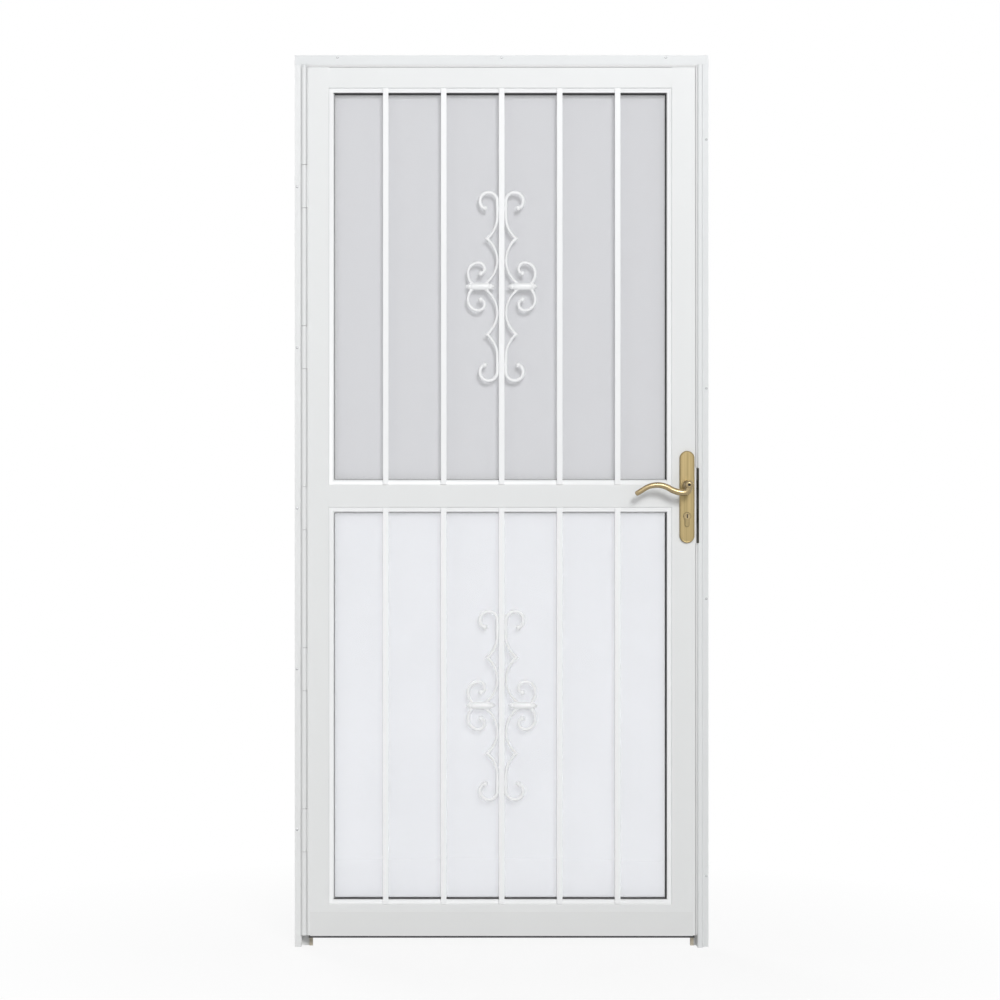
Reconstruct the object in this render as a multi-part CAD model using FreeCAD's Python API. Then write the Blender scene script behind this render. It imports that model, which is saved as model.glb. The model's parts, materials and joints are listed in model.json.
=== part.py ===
"""Steel security screen door: a hinged leaf with scrolled bars in its own jamb frame.

Frame: X runs from the hinge side to the latch side, Y from the outside to the inside,
Z up. The origin is on the wall plane, at the foot of the hinge jamb's mounting flange.
All sizes are in millimetres.
"""
import FreeCAD, Part
import math
import os

from FreeCAD import Vector

# Jamb frame
SILL_GAP = 29.0
HEAD_BAND = 23.0
HINGE_FLANGE = 15.75
LATCH_FLANGE = 14.0
JAMB_SHEET = 1.6
NOSE_WIDTH = 12.1
NOSE_PROUD = 12.0
NOSE_RADIUS = 3.5
STOP_LAP_HINGE = 11.0
STOP_LAP_LATCH = 9.0
STOP_LAP_HEAD = 10.0
STOP_CLEARANCE = 5.0
SEAL_WIDTH = 8.0
SEAL_CLEARANCE = 0.5

# Mounting screw holes in the frame
SCREW_HOLE = 4.5
SCREW_EDGE = 5.0
LATCH_SCREW_FROM_FOOT = 164.0
LATCH_SCREW_FROM_HEAD = 172.0
LOCK_SCREW_BELOW = 263.0
LOCK_SCREW_ABOVE = 223.0
HEAD_SCREW_INSET = 98.6

# Leaf
LEAF_WIDTH = 893.7
LEAF_HEIGHT = 2000.0
LEAF_DEPTH = 32.0
LEAF_PROUD = 14.0
LATCH_GAP = 5.0
HEAD_GAP = 7.0
TUBE_WALL = 1.5
TUBE_RADIUS = 2.5
HINGE_STILE_FACE = 49.5
LATCH_STILE_FACE = 56.0
TOP_RAIL_FACE = 48.5
LOCK_RAIL_FACE = 53.0
BOTTOM_RAIL_FACE = 72.5
LIP_WIDTH = 11.5
LIP_SHEET = 2.0
LIP_RECESS = 10.0
LIP_ROUND = 0.8
VENT_HOLE = 6.0

# Continuous barrel hinge
BARREL = 12.7
HINGE_PIN = 6.0
PIN_CLEARANCE = 0.1
HINGE_PLATE = 3.0
AXIS_BEHIND_FACE = 4.0
HINGE_PACKER = 1.95
HINGE_PLATE_REACH = 22.0
LEAF_KNUCKLES = 5
LEAF_KNUCKLE = 98.0
LOWEST_KNUCKLE = 242.0
HIGHEST_KNUCKLE = 274.0
KNUCKLE_GAP = 1.2
KNUCKLE_SWEEP_GAP = 1.6

# Bars and scrolls
BARS = 5
BAR = 12.7
BAR_PITCH = 133.6
BAR_WALL = 1.2
SCROLL_WIDTH = 6.6
SCROLL_DEPTH = 8.0
SCROLL_OFF_BAR = 0.3
WELD_HEIGHT = 11.0
TOP_CURL_RADIUS = 20.0
TOP_CURL_HEIGHT = 197.0
TOP_CURL_TURN = 40.0
CURL_END_RADIUS = 10.0
CURL_END_TURN = 45.0
SHANK_DROP = 36.0
KINK_RADIUS = 66.0
KINK_TURN = 50.0
BELLY_HEIGHT = 60.0
BELLY_FOOT = 38.1
C_CURL_REACH = 71.2
C_CURL_RISE = 31.0
C_CURL_STEM_RADIUS = 36.0
C_CURL_STEM_TURN = 52.0
C_CURL_RADIUS = 24.0
C_CURL_INNER_RADIUS = 14.4
C_CURL_END_RADIUS = 10.6
C_CURL_END_TURN = 80.0
BALL_RADIUS = 5.2
BALL_SIDES = 8
BARB = 7.4
COLLAR_NEAR = 9.0
COLLAR_FAR = 76.0
COLLAR_RADIUS = 8.2
COLLAR_NECK_RADIUS = 5.0
COLLAR_KNOB_RADIUS = 6.2
COLLAR_KNOB = 8.0
COLLAR_BODY = 36.0
COLLAR_SIDES = 8

# Inserts in the two openings
GASKET_DEPTH = 12.0
GASKET_SHOW = 1.2
GASKET_LAP = 6.0
INSERT_CLEARANCE = 1.0
INSERT_LEG = 2.5
INSERT_HIDE = 1.0
SCREEN_THICKNESS = 0.8
SCREEN_OPENINGS_ACROSS = 8
SCREEN_OPENINGS_UP = 9
SCREEN_OPENING_SHARE = 0.5
GLASS_THICKNESS = 3.0
CLIP_LENGTH = 30.0
CLIP_WIDTH = 16.0
CLIP_SHEET = 1.5

# Bottom sweep
SWEEP_HEIGHT = 54.0
SWEEP_SHEET = 1.2
SWEEP_INSET_FRONT = 6.0
SWEEP_INSET_BACK = 20.0
FIN_DROP = 4.5
FIN_THICKNESS = 5.0
FIN_INSET = 2.0
FIN_SETBACK = 0.5

# Lock and lever handles
BACKSET = 20.2
SPINDLE_HEIGHT = 1067.0
LOCK_CENTRES = 72.0
SPINDLE = 8.0
FOLLOWER_CLEARANCE = 0.55
PLATE_WIDTH = 34.3
PLATE_HEIGHT = 212.0
PLATE_ABOVE_SPINDLE = 78.0
PLATE_THICKNESS = 7.0
PLATE_BEVEL = 2.5
HUB_NECK = 17.0
HUB_COLLAR = 21.5
HUB_COLLAR_LENGTH = 9.0
HUB_CROWN = 3.0
HUB_RUNNING_GAP = 0.3
LEVER_STANDOFF = 36.0
LEVER_ROOT = 14.8
LEVER_END = 10.4
LEVER_SIDES = 10
LEVER_DROP = 18.0
LEVER_ELBOW_RADIUS = 12.0
LEVER_VALLEY_RADIUS = 60.0
LEVER_VALLEY_TURN = 32.0
LEVER_HUMP_RADIUS = 54.0
LEVER_TIP = 21.0
SPINDLE_SOCKET = 20.0
CYLINDER_RADIUS = 8.5
CYLINDER_WEB = 10.0
CYLINDER_HEIGHT = 33.0
CYLINDER_PROUD = 3.0
CYLINDER_CLEARANCE = 0.25
KEYWAY_WIDTH = 2.2
KEYWAY_HEIGHT = 9.0
KEYWAY_DEPTH = 14.0
CASE_WIDTH = 36.0
CASE_HEIGHT = 165.0
CASE_DEPTH = 15.0
FACEPLATE_WIDTH = 20.0
FACEPLATE_HEIGHT = 200.0
FACEPLATE_THICKNESS = 3.0
STRIKE_HEIGHT = 173.0
STRIKE_LIP = 3.0
STRIKE_BACK = 16.0
LATCH_WINDOW = 20.0
BOLT_WINDOW = 34.0
WINDOW_DEPTH = 13.0
BOLT_CLEARANCE = 0.4
NOTCH_CLEARANCE = 6.0

# Places that follow from the sizes above
FLANGE_OUT = -HINGE_FLANGE / 2
FLANGE_IN = HINGE_FLANGE / 2
AXIS_X = FLANGE_IN + BARREL / 2
LEAF_LEFT = AXIS_X + BARREL / 2 + HINGE_PACKER
LEAF_RIGHT = LEAF_LEFT + LEAF_WIDTH
NOSE_LEFT = LEAF_RIGHT + LATCH_GAP
NOSE_RIGHT = NOSE_LEFT + NOSE_WIDTH
FRAME_RIGHT = NOSE_RIGHT + LATCH_FLANGE
LEAF_FRONT = -LEAF_PROUD
LEAF_BACK = LEAF_FRONT + LEAF_DEPTH
AXIS_Y = LEAF_FRONT + AXIS_BEHIND_FACE
STOP_FRONT = LEAF_BACK + STOP_CLEARANCE
STOP_BACK = STOP_FRONT + JAMB_SHEET
LEAF_BOTTOM = SILL_GAP
LEAF_TOP = LEAF_BOTTOM + LEAF_HEIGHT
JAMB_TOP = LEAF_TOP + HEAD_GAP
FRAME_HEIGHT = JAMB_TOP + HEAD_BAND
STILE_IN = LEAF_LEFT + HINGE_STILE_FACE
LATCH_STILE_IN = LEAF_RIGHT - LATCH_STILE_FACE
BAY_HEIGHT = (LEAF_HEIGHT - TOP_RAIL_FACE - LOCK_RAIL_FACE - BOTTOM_RAIL_FACE) / 2
LOWER_BAY = (LEAF_BOTTOM + BOTTOM_RAIL_FACE, LEAF_BOTTOM + BOTTOM_RAIL_FACE + BAY_HEIGHT)
UPPER_BAY = (LEAF_TOP - TOP_RAIL_FACE - BAY_HEIGHT, LEAF_TOP - TOP_RAIL_FACE)
LIP_FRONT = LEAF_FRONT + LIP_RECESS
LIP_BACK = LIP_FRONT + LIP_SHEET
PANE_FRONT = LIP_BACK + GASKET_DEPTH
BAR_MIDDLE_X = (LEAF_LEFT + LEAF_RIGHT) / 2
BAR_MIDDLE_Y = LIP_FRONT - BAR / 2
SPINDLE_X = LEAF_RIGHT - BACKSET
CYLINDER_Z = SPINDLE_HEIGHT - LOCK_CENTRES
PLATE_TOP = SPINDLE_HEIGHT + PLATE_ABOVE_SPINDLE
PLATE_BOTTOM = PLATE_TOP - PLATE_HEIGHT
LOCK_MIDDLE_Z = SPINDLE_HEIGHT - LOCK_CENTRES / 2
LEAF_MIDDLE_Y = (LEAF_FRONT + LEAF_BACK) / 2
KNUCKLE_PITCH = (LEAF_HEIGHT - LOWEST_KNUCKLE - HIGHEST_KNUCKLE) / (LEAF_KNUCKLES - 1)
KNUCKLE_MIDDLES = [LEAF_BOTTOM + LOWEST_KNUCKLE + i * KNUCKLE_PITCH for i in range(LEAF_KNUCKLES)]
WINDOWS = ((SPINDLE_HEIGHT, LATCH_WINDOW), (CYLINDER_Z, BOLT_WINDOW))

ALONG_X = Vector(1, 0, 0)
ALONG_Y = Vector(0, 1, 0)
ALONG_Z = Vector(0, 0, 1)


def block(x_range, y_range, z_range):
    """A box between two values on each axis."""
    corner = Vector(x_range[0], y_range[0], z_range[0])
    size = [high - low for low, high in (x_range, y_range, z_range)]
    return Part.makeBox(size[0], size[1], size[2], corner)


def extrude_z(points, z_range):
    """A prism along Z from an outline of (x, y) points."""
    outline = Part.makePolygon([Vector(x, y, z_range[0]) for x, y in points + points[:1]])
    return Part.Face(outline).extrude(ALONG_Z * (z_range[1] - z_range[0]))


def extrude_y(points, y_range):
    """A prism along Y from an outline of (x, z) points."""
    outline = Part.makePolygon([Vector(x, y_range[0], z) for x, z in points + points[:1]])
    return Part.Face(outline).extrude(ALONG_Y * (y_range[1] - y_range[0]))


def rod(start, direction, radius, length):
    """A round rod from a start point along a direction."""
    return Part.makeCylinder(radius, length, Vector(*start), direction)


def flat_face(corners):
    return Part.Face(Part.makePolygon(corners + corners[:1]))


def faceted(rings):
    """A solid with flat faces between rings that have as many points each."""
    faces = [flat_face(rings[0]), flat_face(rings[-1])]
    sides = len(rings[0])
    for low, high in zip(rings, rings[1:]):
        for i in range(sides):
            j = (i + 1) % sides
            faces.append(flat_face([low[i], low[j], high[j], high[i]]))
    solid = Part.makeSolid(Part.makeShell(faces))
    if solid.Volume < 0:
        solid.reverse()
    return solid


def fuse(shapes):
    """One solid from touching or overlapping ones, with seams removed."""
    return shapes[0].multiFuse(shapes[1:]).removeSplitter()


def separate(shapes):
    """Several solids that stay apart in one piece."""
    return Part.makeCompound(shapes)


def round_edges(shape, radius, chosen):
    """Fillet the edges that the test picks."""
    return shape.makeFillet(radius, [edge for edge in shape.Edges if chosen(edge)])


def runs_along(edge, direction):
    """True for a straight edge parallel to a direction."""
    if not isinstance(edge.Curve, Part.Line):
        return False
    return abs(abs(edge.Curve.Direction.dot(direction)) - 1) < 1e-6


def mirror_x(shape, middle):
    """The mirror image of a shape across a plane of constant X."""
    return shape.mirror(Vector(middle, 0, 0), ALONG_X)


# Screw holes through the frame's flanges

def latch_screw_heights():
    """One hole near each end of the latch jamb and one each side of the lock."""
    ends = [LATCH_SCREW_FROM_FOOT, JAMB_TOP - LATCH_SCREW_FROM_HEAD]
    return ends + [SPINDLE_HEIGHT - LOCK_SCREW_BELOW, SPINDLE_HEIGHT + LOCK_SCREW_ABOVE]


def head_screw_places():
    left = FLANGE_OUT + HEAD_SCREW_INSET
    right = FRAME_RIGHT - HEAD_SCREW_INSET
    return [left, (left + right) / 2, right]


def screw_holes(places):
    """Drills along Y through a flange at each (x, z)."""
    depth = JAMB_SHEET * 3
    start = -JAMB_SHEET * 2
    return separate([rod((x, start, z), ALONG_Y, SCREW_HOLE / 2, depth) for x, z in places])


# Jamb frame

def hinge_jamb():
    """A bent sheet: flange on the wall, web into the opening, stop leg behind the leaf."""
    web_back = FLANGE_IN - JAMB_SHEET
    stop_tip = LEAF_LEFT + STOP_LAP_HINGE
    outline = [
        (FLANGE_OUT, 0),
        (FLANGE_OUT, -JAMB_SHEET),
        (FLANGE_IN, -JAMB_SHEET),
        (FLANGE_IN, STOP_FRONT),
        (stop_tip, STOP_FRONT),
        (stop_tip, STOP_BACK),
        (web_back, STOP_BACK),
        (web_back, 0),
    ]
    jamb = extrude_z(outline, (0, JAMB_TOP))
    holes = screw_holes([(FLANGE_OUT + SCREW_EDGE, z) for z in KNUCKLE_MIDDLES])
    return jamb.cut(holes)


def latch_profile():
    """The latch jamb's bent sheet before it is notched for the strike and handle."""
    stop_tip = LEAF_RIGHT - STOP_LAP_LATCH
    nose_front = -NOSE_PROUD
    outline = [
        (FRAME_RIGHT, 0),
        (FRAME_RIGHT, -JAMB_SHEET),
        (NOSE_RIGHT, -JAMB_SHEET),
        (NOSE_RIGHT, nose_front),
        (NOSE_LEFT, nose_front),
        (NOSE_LEFT, STOP_FRONT),
        (stop_tip, STOP_FRONT),
        (stop_tip, STOP_BACK),
        (NOSE_LEFT + JAMB_SHEET, STOP_BACK),
        (NOSE_LEFT + JAMB_SHEET, nose_front + JAMB_SHEET),
        (NOSE_RIGHT - JAMB_SHEET, nose_front + JAMB_SHEET),
        (NOSE_RIGHT - JAMB_SHEET, 0),
    ]
    jamb = extrude_z(outline, (0, JAMB_TOP))

    def nose_corner(edge):
        return runs_along(edge, ALONG_Z) and abs(edge.CenterOfMass.y - nose_front) < 1e-6

    def nose_inner_corner(edge):
        inner = nose_front + JAMB_SHEET
        return runs_along(edge, ALONG_Z) and abs(edge.CenterOfMass.y - inner) < 1e-6

    jamb = round_edges(jamb, NOSE_RADIUS, nose_corner)
    return round_edges(jamb, NOSE_RADIUS - JAMB_SHEET, nose_inner_corner)


def strike_zone():
    """The stretch of the nose that the strike plate takes the place of."""
    middle = CYLINDER_Z + (SPINDLE_HEIGHT - CYLINDER_Z) / 3
    z_range = (middle - STRIKE_HEIGHT / 2, middle + STRIKE_HEIGHT / 2)
    return block((NOSE_LEFT - 1, NOSE_LEFT + STRIKE_LIP), (-NOSE_PROUD - 1, STRIKE_BACK), z_range)


def latch_jamb():
    """The latch jamb, open at the strike and cut back where the inside plate passes."""
    notch_x = (LEAF_RIGHT - STOP_LAP_LATCH - 1, NOSE_LEFT)
    notch_z = (PLATE_BOTTOM - NOTCH_CLEARANCE, PLATE_TOP + NOTCH_CLEARANCE)
    notch = block(notch_x, (STOP_FRONT - 1, STOP_BACK + 1), notch_z)
    holes = screw_holes([(FRAME_RIGHT - SCREW_EDGE, z) for z in latch_screw_heights()])
    return latch_profile().cut(strike_zone()).cut(notch).cut(holes)


def strike_plate():
    """A brass angle let into the nose, with windows for the latch and the bolt."""
    plate = latch_profile().common(strike_zone())
    return plate.cut(bolt_windows((NOSE_LEFT - 1, NOSE_LEFT + STRIKE_LIP), 0))


def head_jamb():
    """The head: a flange over both jambs, a web and a stop leg between the jambs' legs."""
    web_left = FLANGE_IN
    web_right = NOSE_LEFT
    flange = block((FLANGE_OUT, FRAME_RIGHT), (-JAMB_SHEET, 0), (JAMB_TOP, FRAME_HEIGHT))
    web = block((web_left, web_right), (-JAMB_SHEET, STOP_BACK), (JAMB_TOP, JAMB_TOP + JAMB_SHEET))
    leg_left = LEAF_LEFT + STOP_LAP_HINGE
    leg_right = LEAF_RIGHT - STOP_LAP_LATCH
    leg_z = (LEAF_TOP - STOP_LAP_HEAD, JAMB_TOP)
    leg = block((leg_left, leg_right), (STOP_FRONT, STOP_BACK), leg_z)
    places = [(x, FRAME_HEIGHT - SCREW_EDGE) for x in head_screw_places()]
    return fuse([flange, web, leg]).cut(screw_holes(places))


def seal_depth():
    return (LEAF_BACK + SEAL_CLEARANCE, STOP_FRONT)


def hinge_weatherstrip():
    """A pile strip on the hinge stop, just clear of the closed leaf."""
    tip = LEAF_LEFT + STOP_LAP_HINGE
    return block((tip - SEAL_WIDTH, tip), seal_depth(), (0, JAMB_TOP))


def latch_weatherstrip():
    """Two lengths of strip on the latch stop, above and below the handle's notch."""
    tip = LEAF_RIGHT - STOP_LAP_LATCH
    x_range = (tip, tip + SEAL_WIDTH)
    lower = block(x_range, seal_depth(), (0, PLATE_BOTTOM - NOTCH_CLEARANCE))
    upper = block(x_range, seal_depth(), (PLATE_TOP + NOTCH_CLEARANCE, JAMB_TOP))
    return separate([lower, upper])


def head_weatherstrip():
    """The strip on the head's stop leg, between the two side strips."""
    x_range = (LEAF_LEFT + STOP_LAP_HINGE, LEAF_RIGHT - STOP_LAP_LATCH)
    low = LEAF_TOP - STOP_LAP_HEAD
    return block(x_range, seal_depth(), (low, low + SEAL_WIDTH))


# Continuous hinge

def leaf_knuckle_spans():
    """The heights of the leaf's knuckles, from the lowest up."""
    half = LEAF_KNUCKLE / 2
    return [(middle - half, middle + half) for middle in KNUCKLE_MIDDLES]


def jamb_knuckle_spans():
    """The stretches of barrel that are left for the jamb."""
    spans = []
    low = LEAF_BOTTOM
    for leaf_low, leaf_high in leaf_knuckle_spans():
        spans.append((low, leaf_low - KNUCKLE_GAP))
        low = leaf_high + KNUCKLE_GAP
    spans.append((low, LEAF_TOP))
    return spans


def barrel_tube(z_range):
    outside = rod((AXIS_X, AXIS_Y, z_range[0]), ALONG_Z, BARREL / 2, z_range[1] - z_range[0])
    return outside.cut(pin_bore(z_range))


def pin_bore(z_range):
    radius = HINGE_PIN / 2 + PIN_CLEARANCE
    return rod((AXIS_X, AXIS_Y, z_range[0]), ALONG_Z, radius, z_range[1] - z_range[0])


def jamb_hinge():
    """The jamb's hinge plate, rolled into long knuckles and cut back beside the leaf's."""
    plate_x = (FLANGE_IN, FLANGE_IN + HINGE_PLATE)
    plate_back = AXIS_Y + HINGE_PLATE_REACH
    cut_back = AXIS_Y + BARREL / 2 + KNUCKLE_SWEEP_GAP
    pieces = [block(plate_x, (cut_back, plate_back), (LEAF_BOTTOM, LEAF_TOP))]
    for span in jamb_knuckle_spans():
        neck = block(plate_x, (AXIS_Y, cut_back), span).cut(pin_bore(span))
        pieces.append(fuse([barrel_tube(span), neck]))
    return fuse(pieces)


def leaf_hinge_knuckles():
    """Five short knuckles, each rolled from a plate that is welded to the leaf's edge."""
    plate_x = (AXIS_X + BARREL / 2 - HINGE_PLATE, LEAF_LEFT)
    plate_y = (AXIS_Y, AXIS_Y + HINGE_PLATE_REACH)
    knuckles = []
    for span in leaf_knuckle_spans():
        plate = block(plate_x, plate_y, span).cut(pin_bore(span))
        knuckles.append(fuse([barrel_tube(span), plate]))
    return separate(knuckles)


def hinge_pin():
    """The rod that runs the whole length of the barrel."""
    return rod((AXIS_X, AXIS_Y, LEAF_BOTTOM), ALONG_Z, HINGE_PIN / 2, LEAF_HEIGHT)


# Leaf frame

def tube(x_range, z_range, direction, capped):
    """A rectangular tube with rounded long edges, its ends capped or left open."""
    outer = block(x_range, (LEAF_FRONT, LEAF_BACK), z_range)
    outer = round_edges(outer, TUBE_RADIUS, lambda edge: runs_along(edge, direction))
    end = TUBE_WALL if capped else 0
    across = TUBE_WALL
    along_z = direction == ALONG_Z
    x_inset = across if along_z else end
    z_inset = end if along_z else across
    bore = block(
        (x_range[0] + x_inset, x_range[1] - x_inset),
        (LEAF_FRONT + TUBE_WALL, LEAF_BACK - TUBE_WALL),
        (z_range[0] + z_inset, z_range[1] - z_inset),
    )
    return outer.cut(bore)


def lip(bay, side):
    """One side of the recessed lip round an opening, mitred to its neighbours."""
    low, high = bay
    inner_low = low + LIP_WIDTH
    inner_high = high - LIP_WIDTH
    left, right = STILE_IN, LATCH_STILE_IN
    inner_left, inner_right = left + LIP_WIDTH, right - LIP_WIDTH
    outlines = {
        "left": [(left, low), (inner_left, inner_low), (inner_left, inner_high), (left, high)],
        "right": [(right, low), (right, high), (inner_right, inner_high), (inner_right, inner_low)],
        "bottom": [(left, low), (right, low), (inner_right, inner_low), (inner_left, inner_low)],
        "top": [(left, high), (inner_left, inner_high), (inner_right, inner_high), (right, high)],
    }
    strip = extrude_y(outlines[side], (LIP_FRONT, LIP_BACK))
    inner_edge = {"left": inner_left, "right": inner_right, "bottom": inner_low, "top": inner_high}[side]
    upright = side in ("left", "right")

    def front_inner_edge(edge):
        middle = edge.CenterOfMass
        place = middle.x if upright else middle.z
        return abs(place - inner_edge) < 1e-6 and abs(middle.y - LIP_FRONT) < 1e-6

    return round_edges(strip, LIP_ROUND, front_inner_edge)


def hinge_stile():
    """A capped tube with a lip along both openings and a vent hole in its foot."""
    body = tube((LEAF_LEFT, STILE_IN), (LEAF_BOTTOM, LEAF_TOP), ALONG_Z, True)
    vent_x = (LEAF_LEFT + STILE_IN) / 2
    vent = rod((vent_x, LEAF_MIDDLE_Y, LEAF_BOTTOM), ALONG_Z, VENT_HOLE / 2, TUBE_WALL)
    return fuse([body, lip(UPPER_BAY, "left"), lip(LOWER_BAY, "left")]).cut(vent)


def latch_stile():
    """The tube that houses the lock, cut for its faceplate, spindle and key cylinder."""
    body = tube((LATCH_STILE_IN, LEAF_RIGHT), (LEAF_BOTTOM, LEAF_TOP), ALONG_Z, True)
    body = fuse([body, lip(UPPER_BAY, "right"), lip(LOWER_BAY, "right")])
    spindle_way = rod((SPINDLE_X, LEAF_FRONT, SPINDLE_HEIGHT), ALONG_Y, hub_bore() / 2, LEAF_DEPTH)
    cylinder_way = cylinder_outline(CYLINDER_CLEARANCE, (LEAF_FRONT, LEAF_BACK))
    return body.cut(spindle_way).cut(cylinder_way).cut(faceplate_blank())


def top_rail():
    body = tube((STILE_IN, LATCH_STILE_IN), (UPPER_BAY[1], LEAF_TOP), ALONG_X, False)
    return fuse([body, lip(UPPER_BAY, "top")])


def lock_rail():
    body = tube((STILE_IN, LATCH_STILE_IN), (LOWER_BAY[1], UPPER_BAY[0]), ALONG_X, False)
    return fuse([body, lip(UPPER_BAY, "bottom"), lip(LOWER_BAY, "top")])


def bottom_rail():
    body = tube((STILE_IN, LATCH_STILE_IN), (LEAF_BOTTOM, LOWER_BAY[0]), ALONG_X, False)
    return fuse([body, lip(LOWER_BAY, "bottom")])


def bar_place(index):
    """The middle of a bar across the leaf, counted from the hinge side."""
    return BAR_MIDDLE_X + (index - (BARS - 1) / 2) * BAR_PITCH


def bar(index, bay):
    """A square tube that stands on the lips and butts the rails at both ends."""
    middle = bar_place(index)
    half = BAR / 2
    hollow = half - BAR_WALL
    outside = block((middle - half, middle + half), (LIP_FRONT - BAR, LIP_FRONT), bay)
    y_range = (BAR_MIDDLE_Y - hollow, BAR_MIDDLE_Y + hollow)
    return outside.cut(block((middle - hollow, middle + hollow), y_range, bay))


# Scroll castings

def polar(centre, radius, degrees):
    angle = math.radians(degrees)
    return (centre[0] + radius * math.cos(angle), centre[1] + radius * math.sin(angle))


def arc_through(first, middle, last):
    """The centre, radius and end angles of the arc through three points, bulging to -X."""
    circle = Part.Circle(*[Vector(x, 0, z) for x, z in (first, middle, last)])
    centre = (circle.Center.x, circle.Center.z)
    angles = [math.degrees(math.atan2(z - centre[1], x - centre[0])) % 360 for x, z in (first, last)]
    return centre, circle.Radius, min(angles), max(angles)


def scroll_section():
    """The casting's flat section: (offset across, depth)."""
    half = SCROLL_WIDTH / 2
    back = SCROLL_DEPTH / 2
    return [(-half, back), (half, back), (half, -back), (-half, -back)]


def scroll_arc(centre, radius, start, end):
    """The section carried round an arc in the plane of the leaf."""
    points = []
    for across, depth in scroll_section():
        x, z = polar(centre, radius + across, start)
        points.append(Vector(x, depth, z))
    face = Part.Face(Part.makePolygon(points + points[:1]))
    return face.revolve(Vector(centre[0], 0, centre[1]), ALONG_Y * -1, end - start)


def scroll_straight(across, low, high):
    """An upright run of the section beside the bar."""
    points = [Vector(across + offset, depth, low) for offset, depth in scroll_section()]
    face = Part.Face(Part.makePolygon(points + points[:1]))
    return face.extrude(ALONG_Z * (high - low))


def scroll_ball(place):
    """The blunt end of a curl, with few sides."""
    turns = [360 * (side + 0.5) / BALL_SIDES for side in range(BALL_SIDES)]
    outline = [polar(place, BALL_RADIUS, turn) for turn in turns]
    return extrude_y(outline, (-SCROLL_DEPTH / 2, SCROLL_DEPTH / 2))


def scroll_barb(place):
    """The pointed corner where the strand doubles back."""
    point = BARB / math.sqrt(2)
    x, z = place
    outline = [(x - point, z), (x, z - point), (x + point, z), (x, z + point)]
    return extrude_y(outline, (-SCROLL_DEPTH / 2, SCROLL_DEPTH / 2))


def scroll_long_strand(shank):
    """Top curl, shank along the bar, pointed kink, and the belly down to the collar."""
    curl = (shank + TOP_CURL_RADIUS, TOP_CURL_HEIGHT)
    tail = polar(curl, TOP_CURL_RADIUS - CURL_END_RADIUS, -TOP_CURL_TURN)
    tail_end = -TOP_CURL_TURN - CURL_END_TURN
    shank_foot = TOP_CURL_HEIGHT - SHANK_DROP
    bend = (shank + KINK_RADIUS, shank_foot)
    kink = polar(bend, KINK_RADIUS, 180 + KINK_TURN)
    near = shank + SCROLL_OFF_BAR
    belly = arc_through(kink, (near, BELLY_HEIGHT), (near + BELLY_FOOT, 0))
    return [
        scroll_arc(curl, TOP_CURL_RADIUS, -TOP_CURL_TURN, 180),
        scroll_arc(tail, CURL_END_RADIUS, tail_end, -TOP_CURL_TURN),
        scroll_ball(polar(tail, CURL_END_RADIUS, tail_end)),
        scroll_straight(shank, shank_foot, TOP_CURL_HEIGHT),
        scroll_arc(bend, KINK_RADIUS, 180, 180 + KINK_TURN),
        scroll_barb(kink),
        scroll_arc(*belly),
    ]


def scroll_c_curl(bar_face):
    """The small curl that rises from the collar's outer end."""
    outer = bar_face + C_CURL_REACH
    stem = (outer - C_CURL_STEM_RADIUS, C_CURL_RISE)
    first = (outer - C_CURL_RADIUS, C_CURL_RISE)
    second = (first[0], C_CURL_RISE + C_CURL_RADIUS - C_CURL_INNER_RADIUS)
    third = (second[0] - C_CURL_INNER_RADIUS + C_CURL_END_RADIUS, second[1])
    end = 180 + C_CURL_END_TURN
    return [
        scroll_arc(stem, C_CURL_STEM_RADIUS, -C_CURL_STEM_TURN, 0),
        scroll_arc(first, C_CURL_RADIUS, 0, 90),
        scroll_arc(second, C_CURL_INNER_RADIUS, 90, 180),
        scroll_arc(third, C_CURL_END_RADIUS, 180, end),
        scroll_ball(polar(third, C_CURL_END_RADIUS, end)),
    ]


def scroll_collar(bar_face):
    """The spindle across the scroll's waist: a thick middle, two necks and pointed knobs."""
    near = bar_face + COLLAR_NEAR
    far = bar_face + COLLAR_FAR
    middle = (near + far) / 2
    point = COLLAR_KNOB_RADIUS / 4
    half_profile = [
        (near, point),
        (near + COLLAR_KNOB, COLLAR_KNOB_RADIUS),
        (near + 1.5 * COLLAR_KNOB, COLLAR_NECK_RADIUS),
        (middle - COLLAR_BODY / 2, COLLAR_RADIUS),
    ]
    mirrored = [(2 * middle - x, radius) for x, radius in reversed(half_profile)]
    turns = [360 * (side + 0.5) / COLLAR_SIDES for side in range(COLLAR_SIDES)]
    rings = []
    for x, radius in half_profile + mirrored:
        places = [polar((0, 0), radius, turn) for turn in turns]
        rings.append([Vector(x, y, z) for y, z in places])
    return faceted(rings)


def scroll():
    """One casting about its own middle, with the bar's axis at X of zero."""
    bar_face = BAR / 2
    shank = bar_face + SCROLL_OFF_BAR + SCROLL_WIDTH / 2
    weld_z = TOP_CURL_HEIGHT - SHANK_DROP / 2
    weld_x = (bar_face, shank)
    weld_y = (-SCROLL_DEPTH / 4, SCROLL_DEPTH / 2)
    weld = block(weld_x, weld_y, (weld_z - WELD_HEIGHT / 2, weld_z + WELD_HEIGHT / 2))
    upper = fuse(scroll_long_strand(shank) + scroll_c_curl(bar_face) + [weld])
    lower = upper.mirror(Vector(0, 0, 0), ALONG_Z)
    return fuse([upper, lower, scroll_collar(bar_face)])


def placed_scroll(bay, side):
    """The casting beside the middle bar of an opening; side is -1 left, 1 right."""
    casting = scroll()
    if side < 0:
        casting = mirror_x(casting, 0)
    middle = Vector(BAR_MIDDLE_X, BAR_MIDDLE_Y, (bay[0] + bay[1]) / 2)
    return casting.translated(middle)


# Inserts

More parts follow.
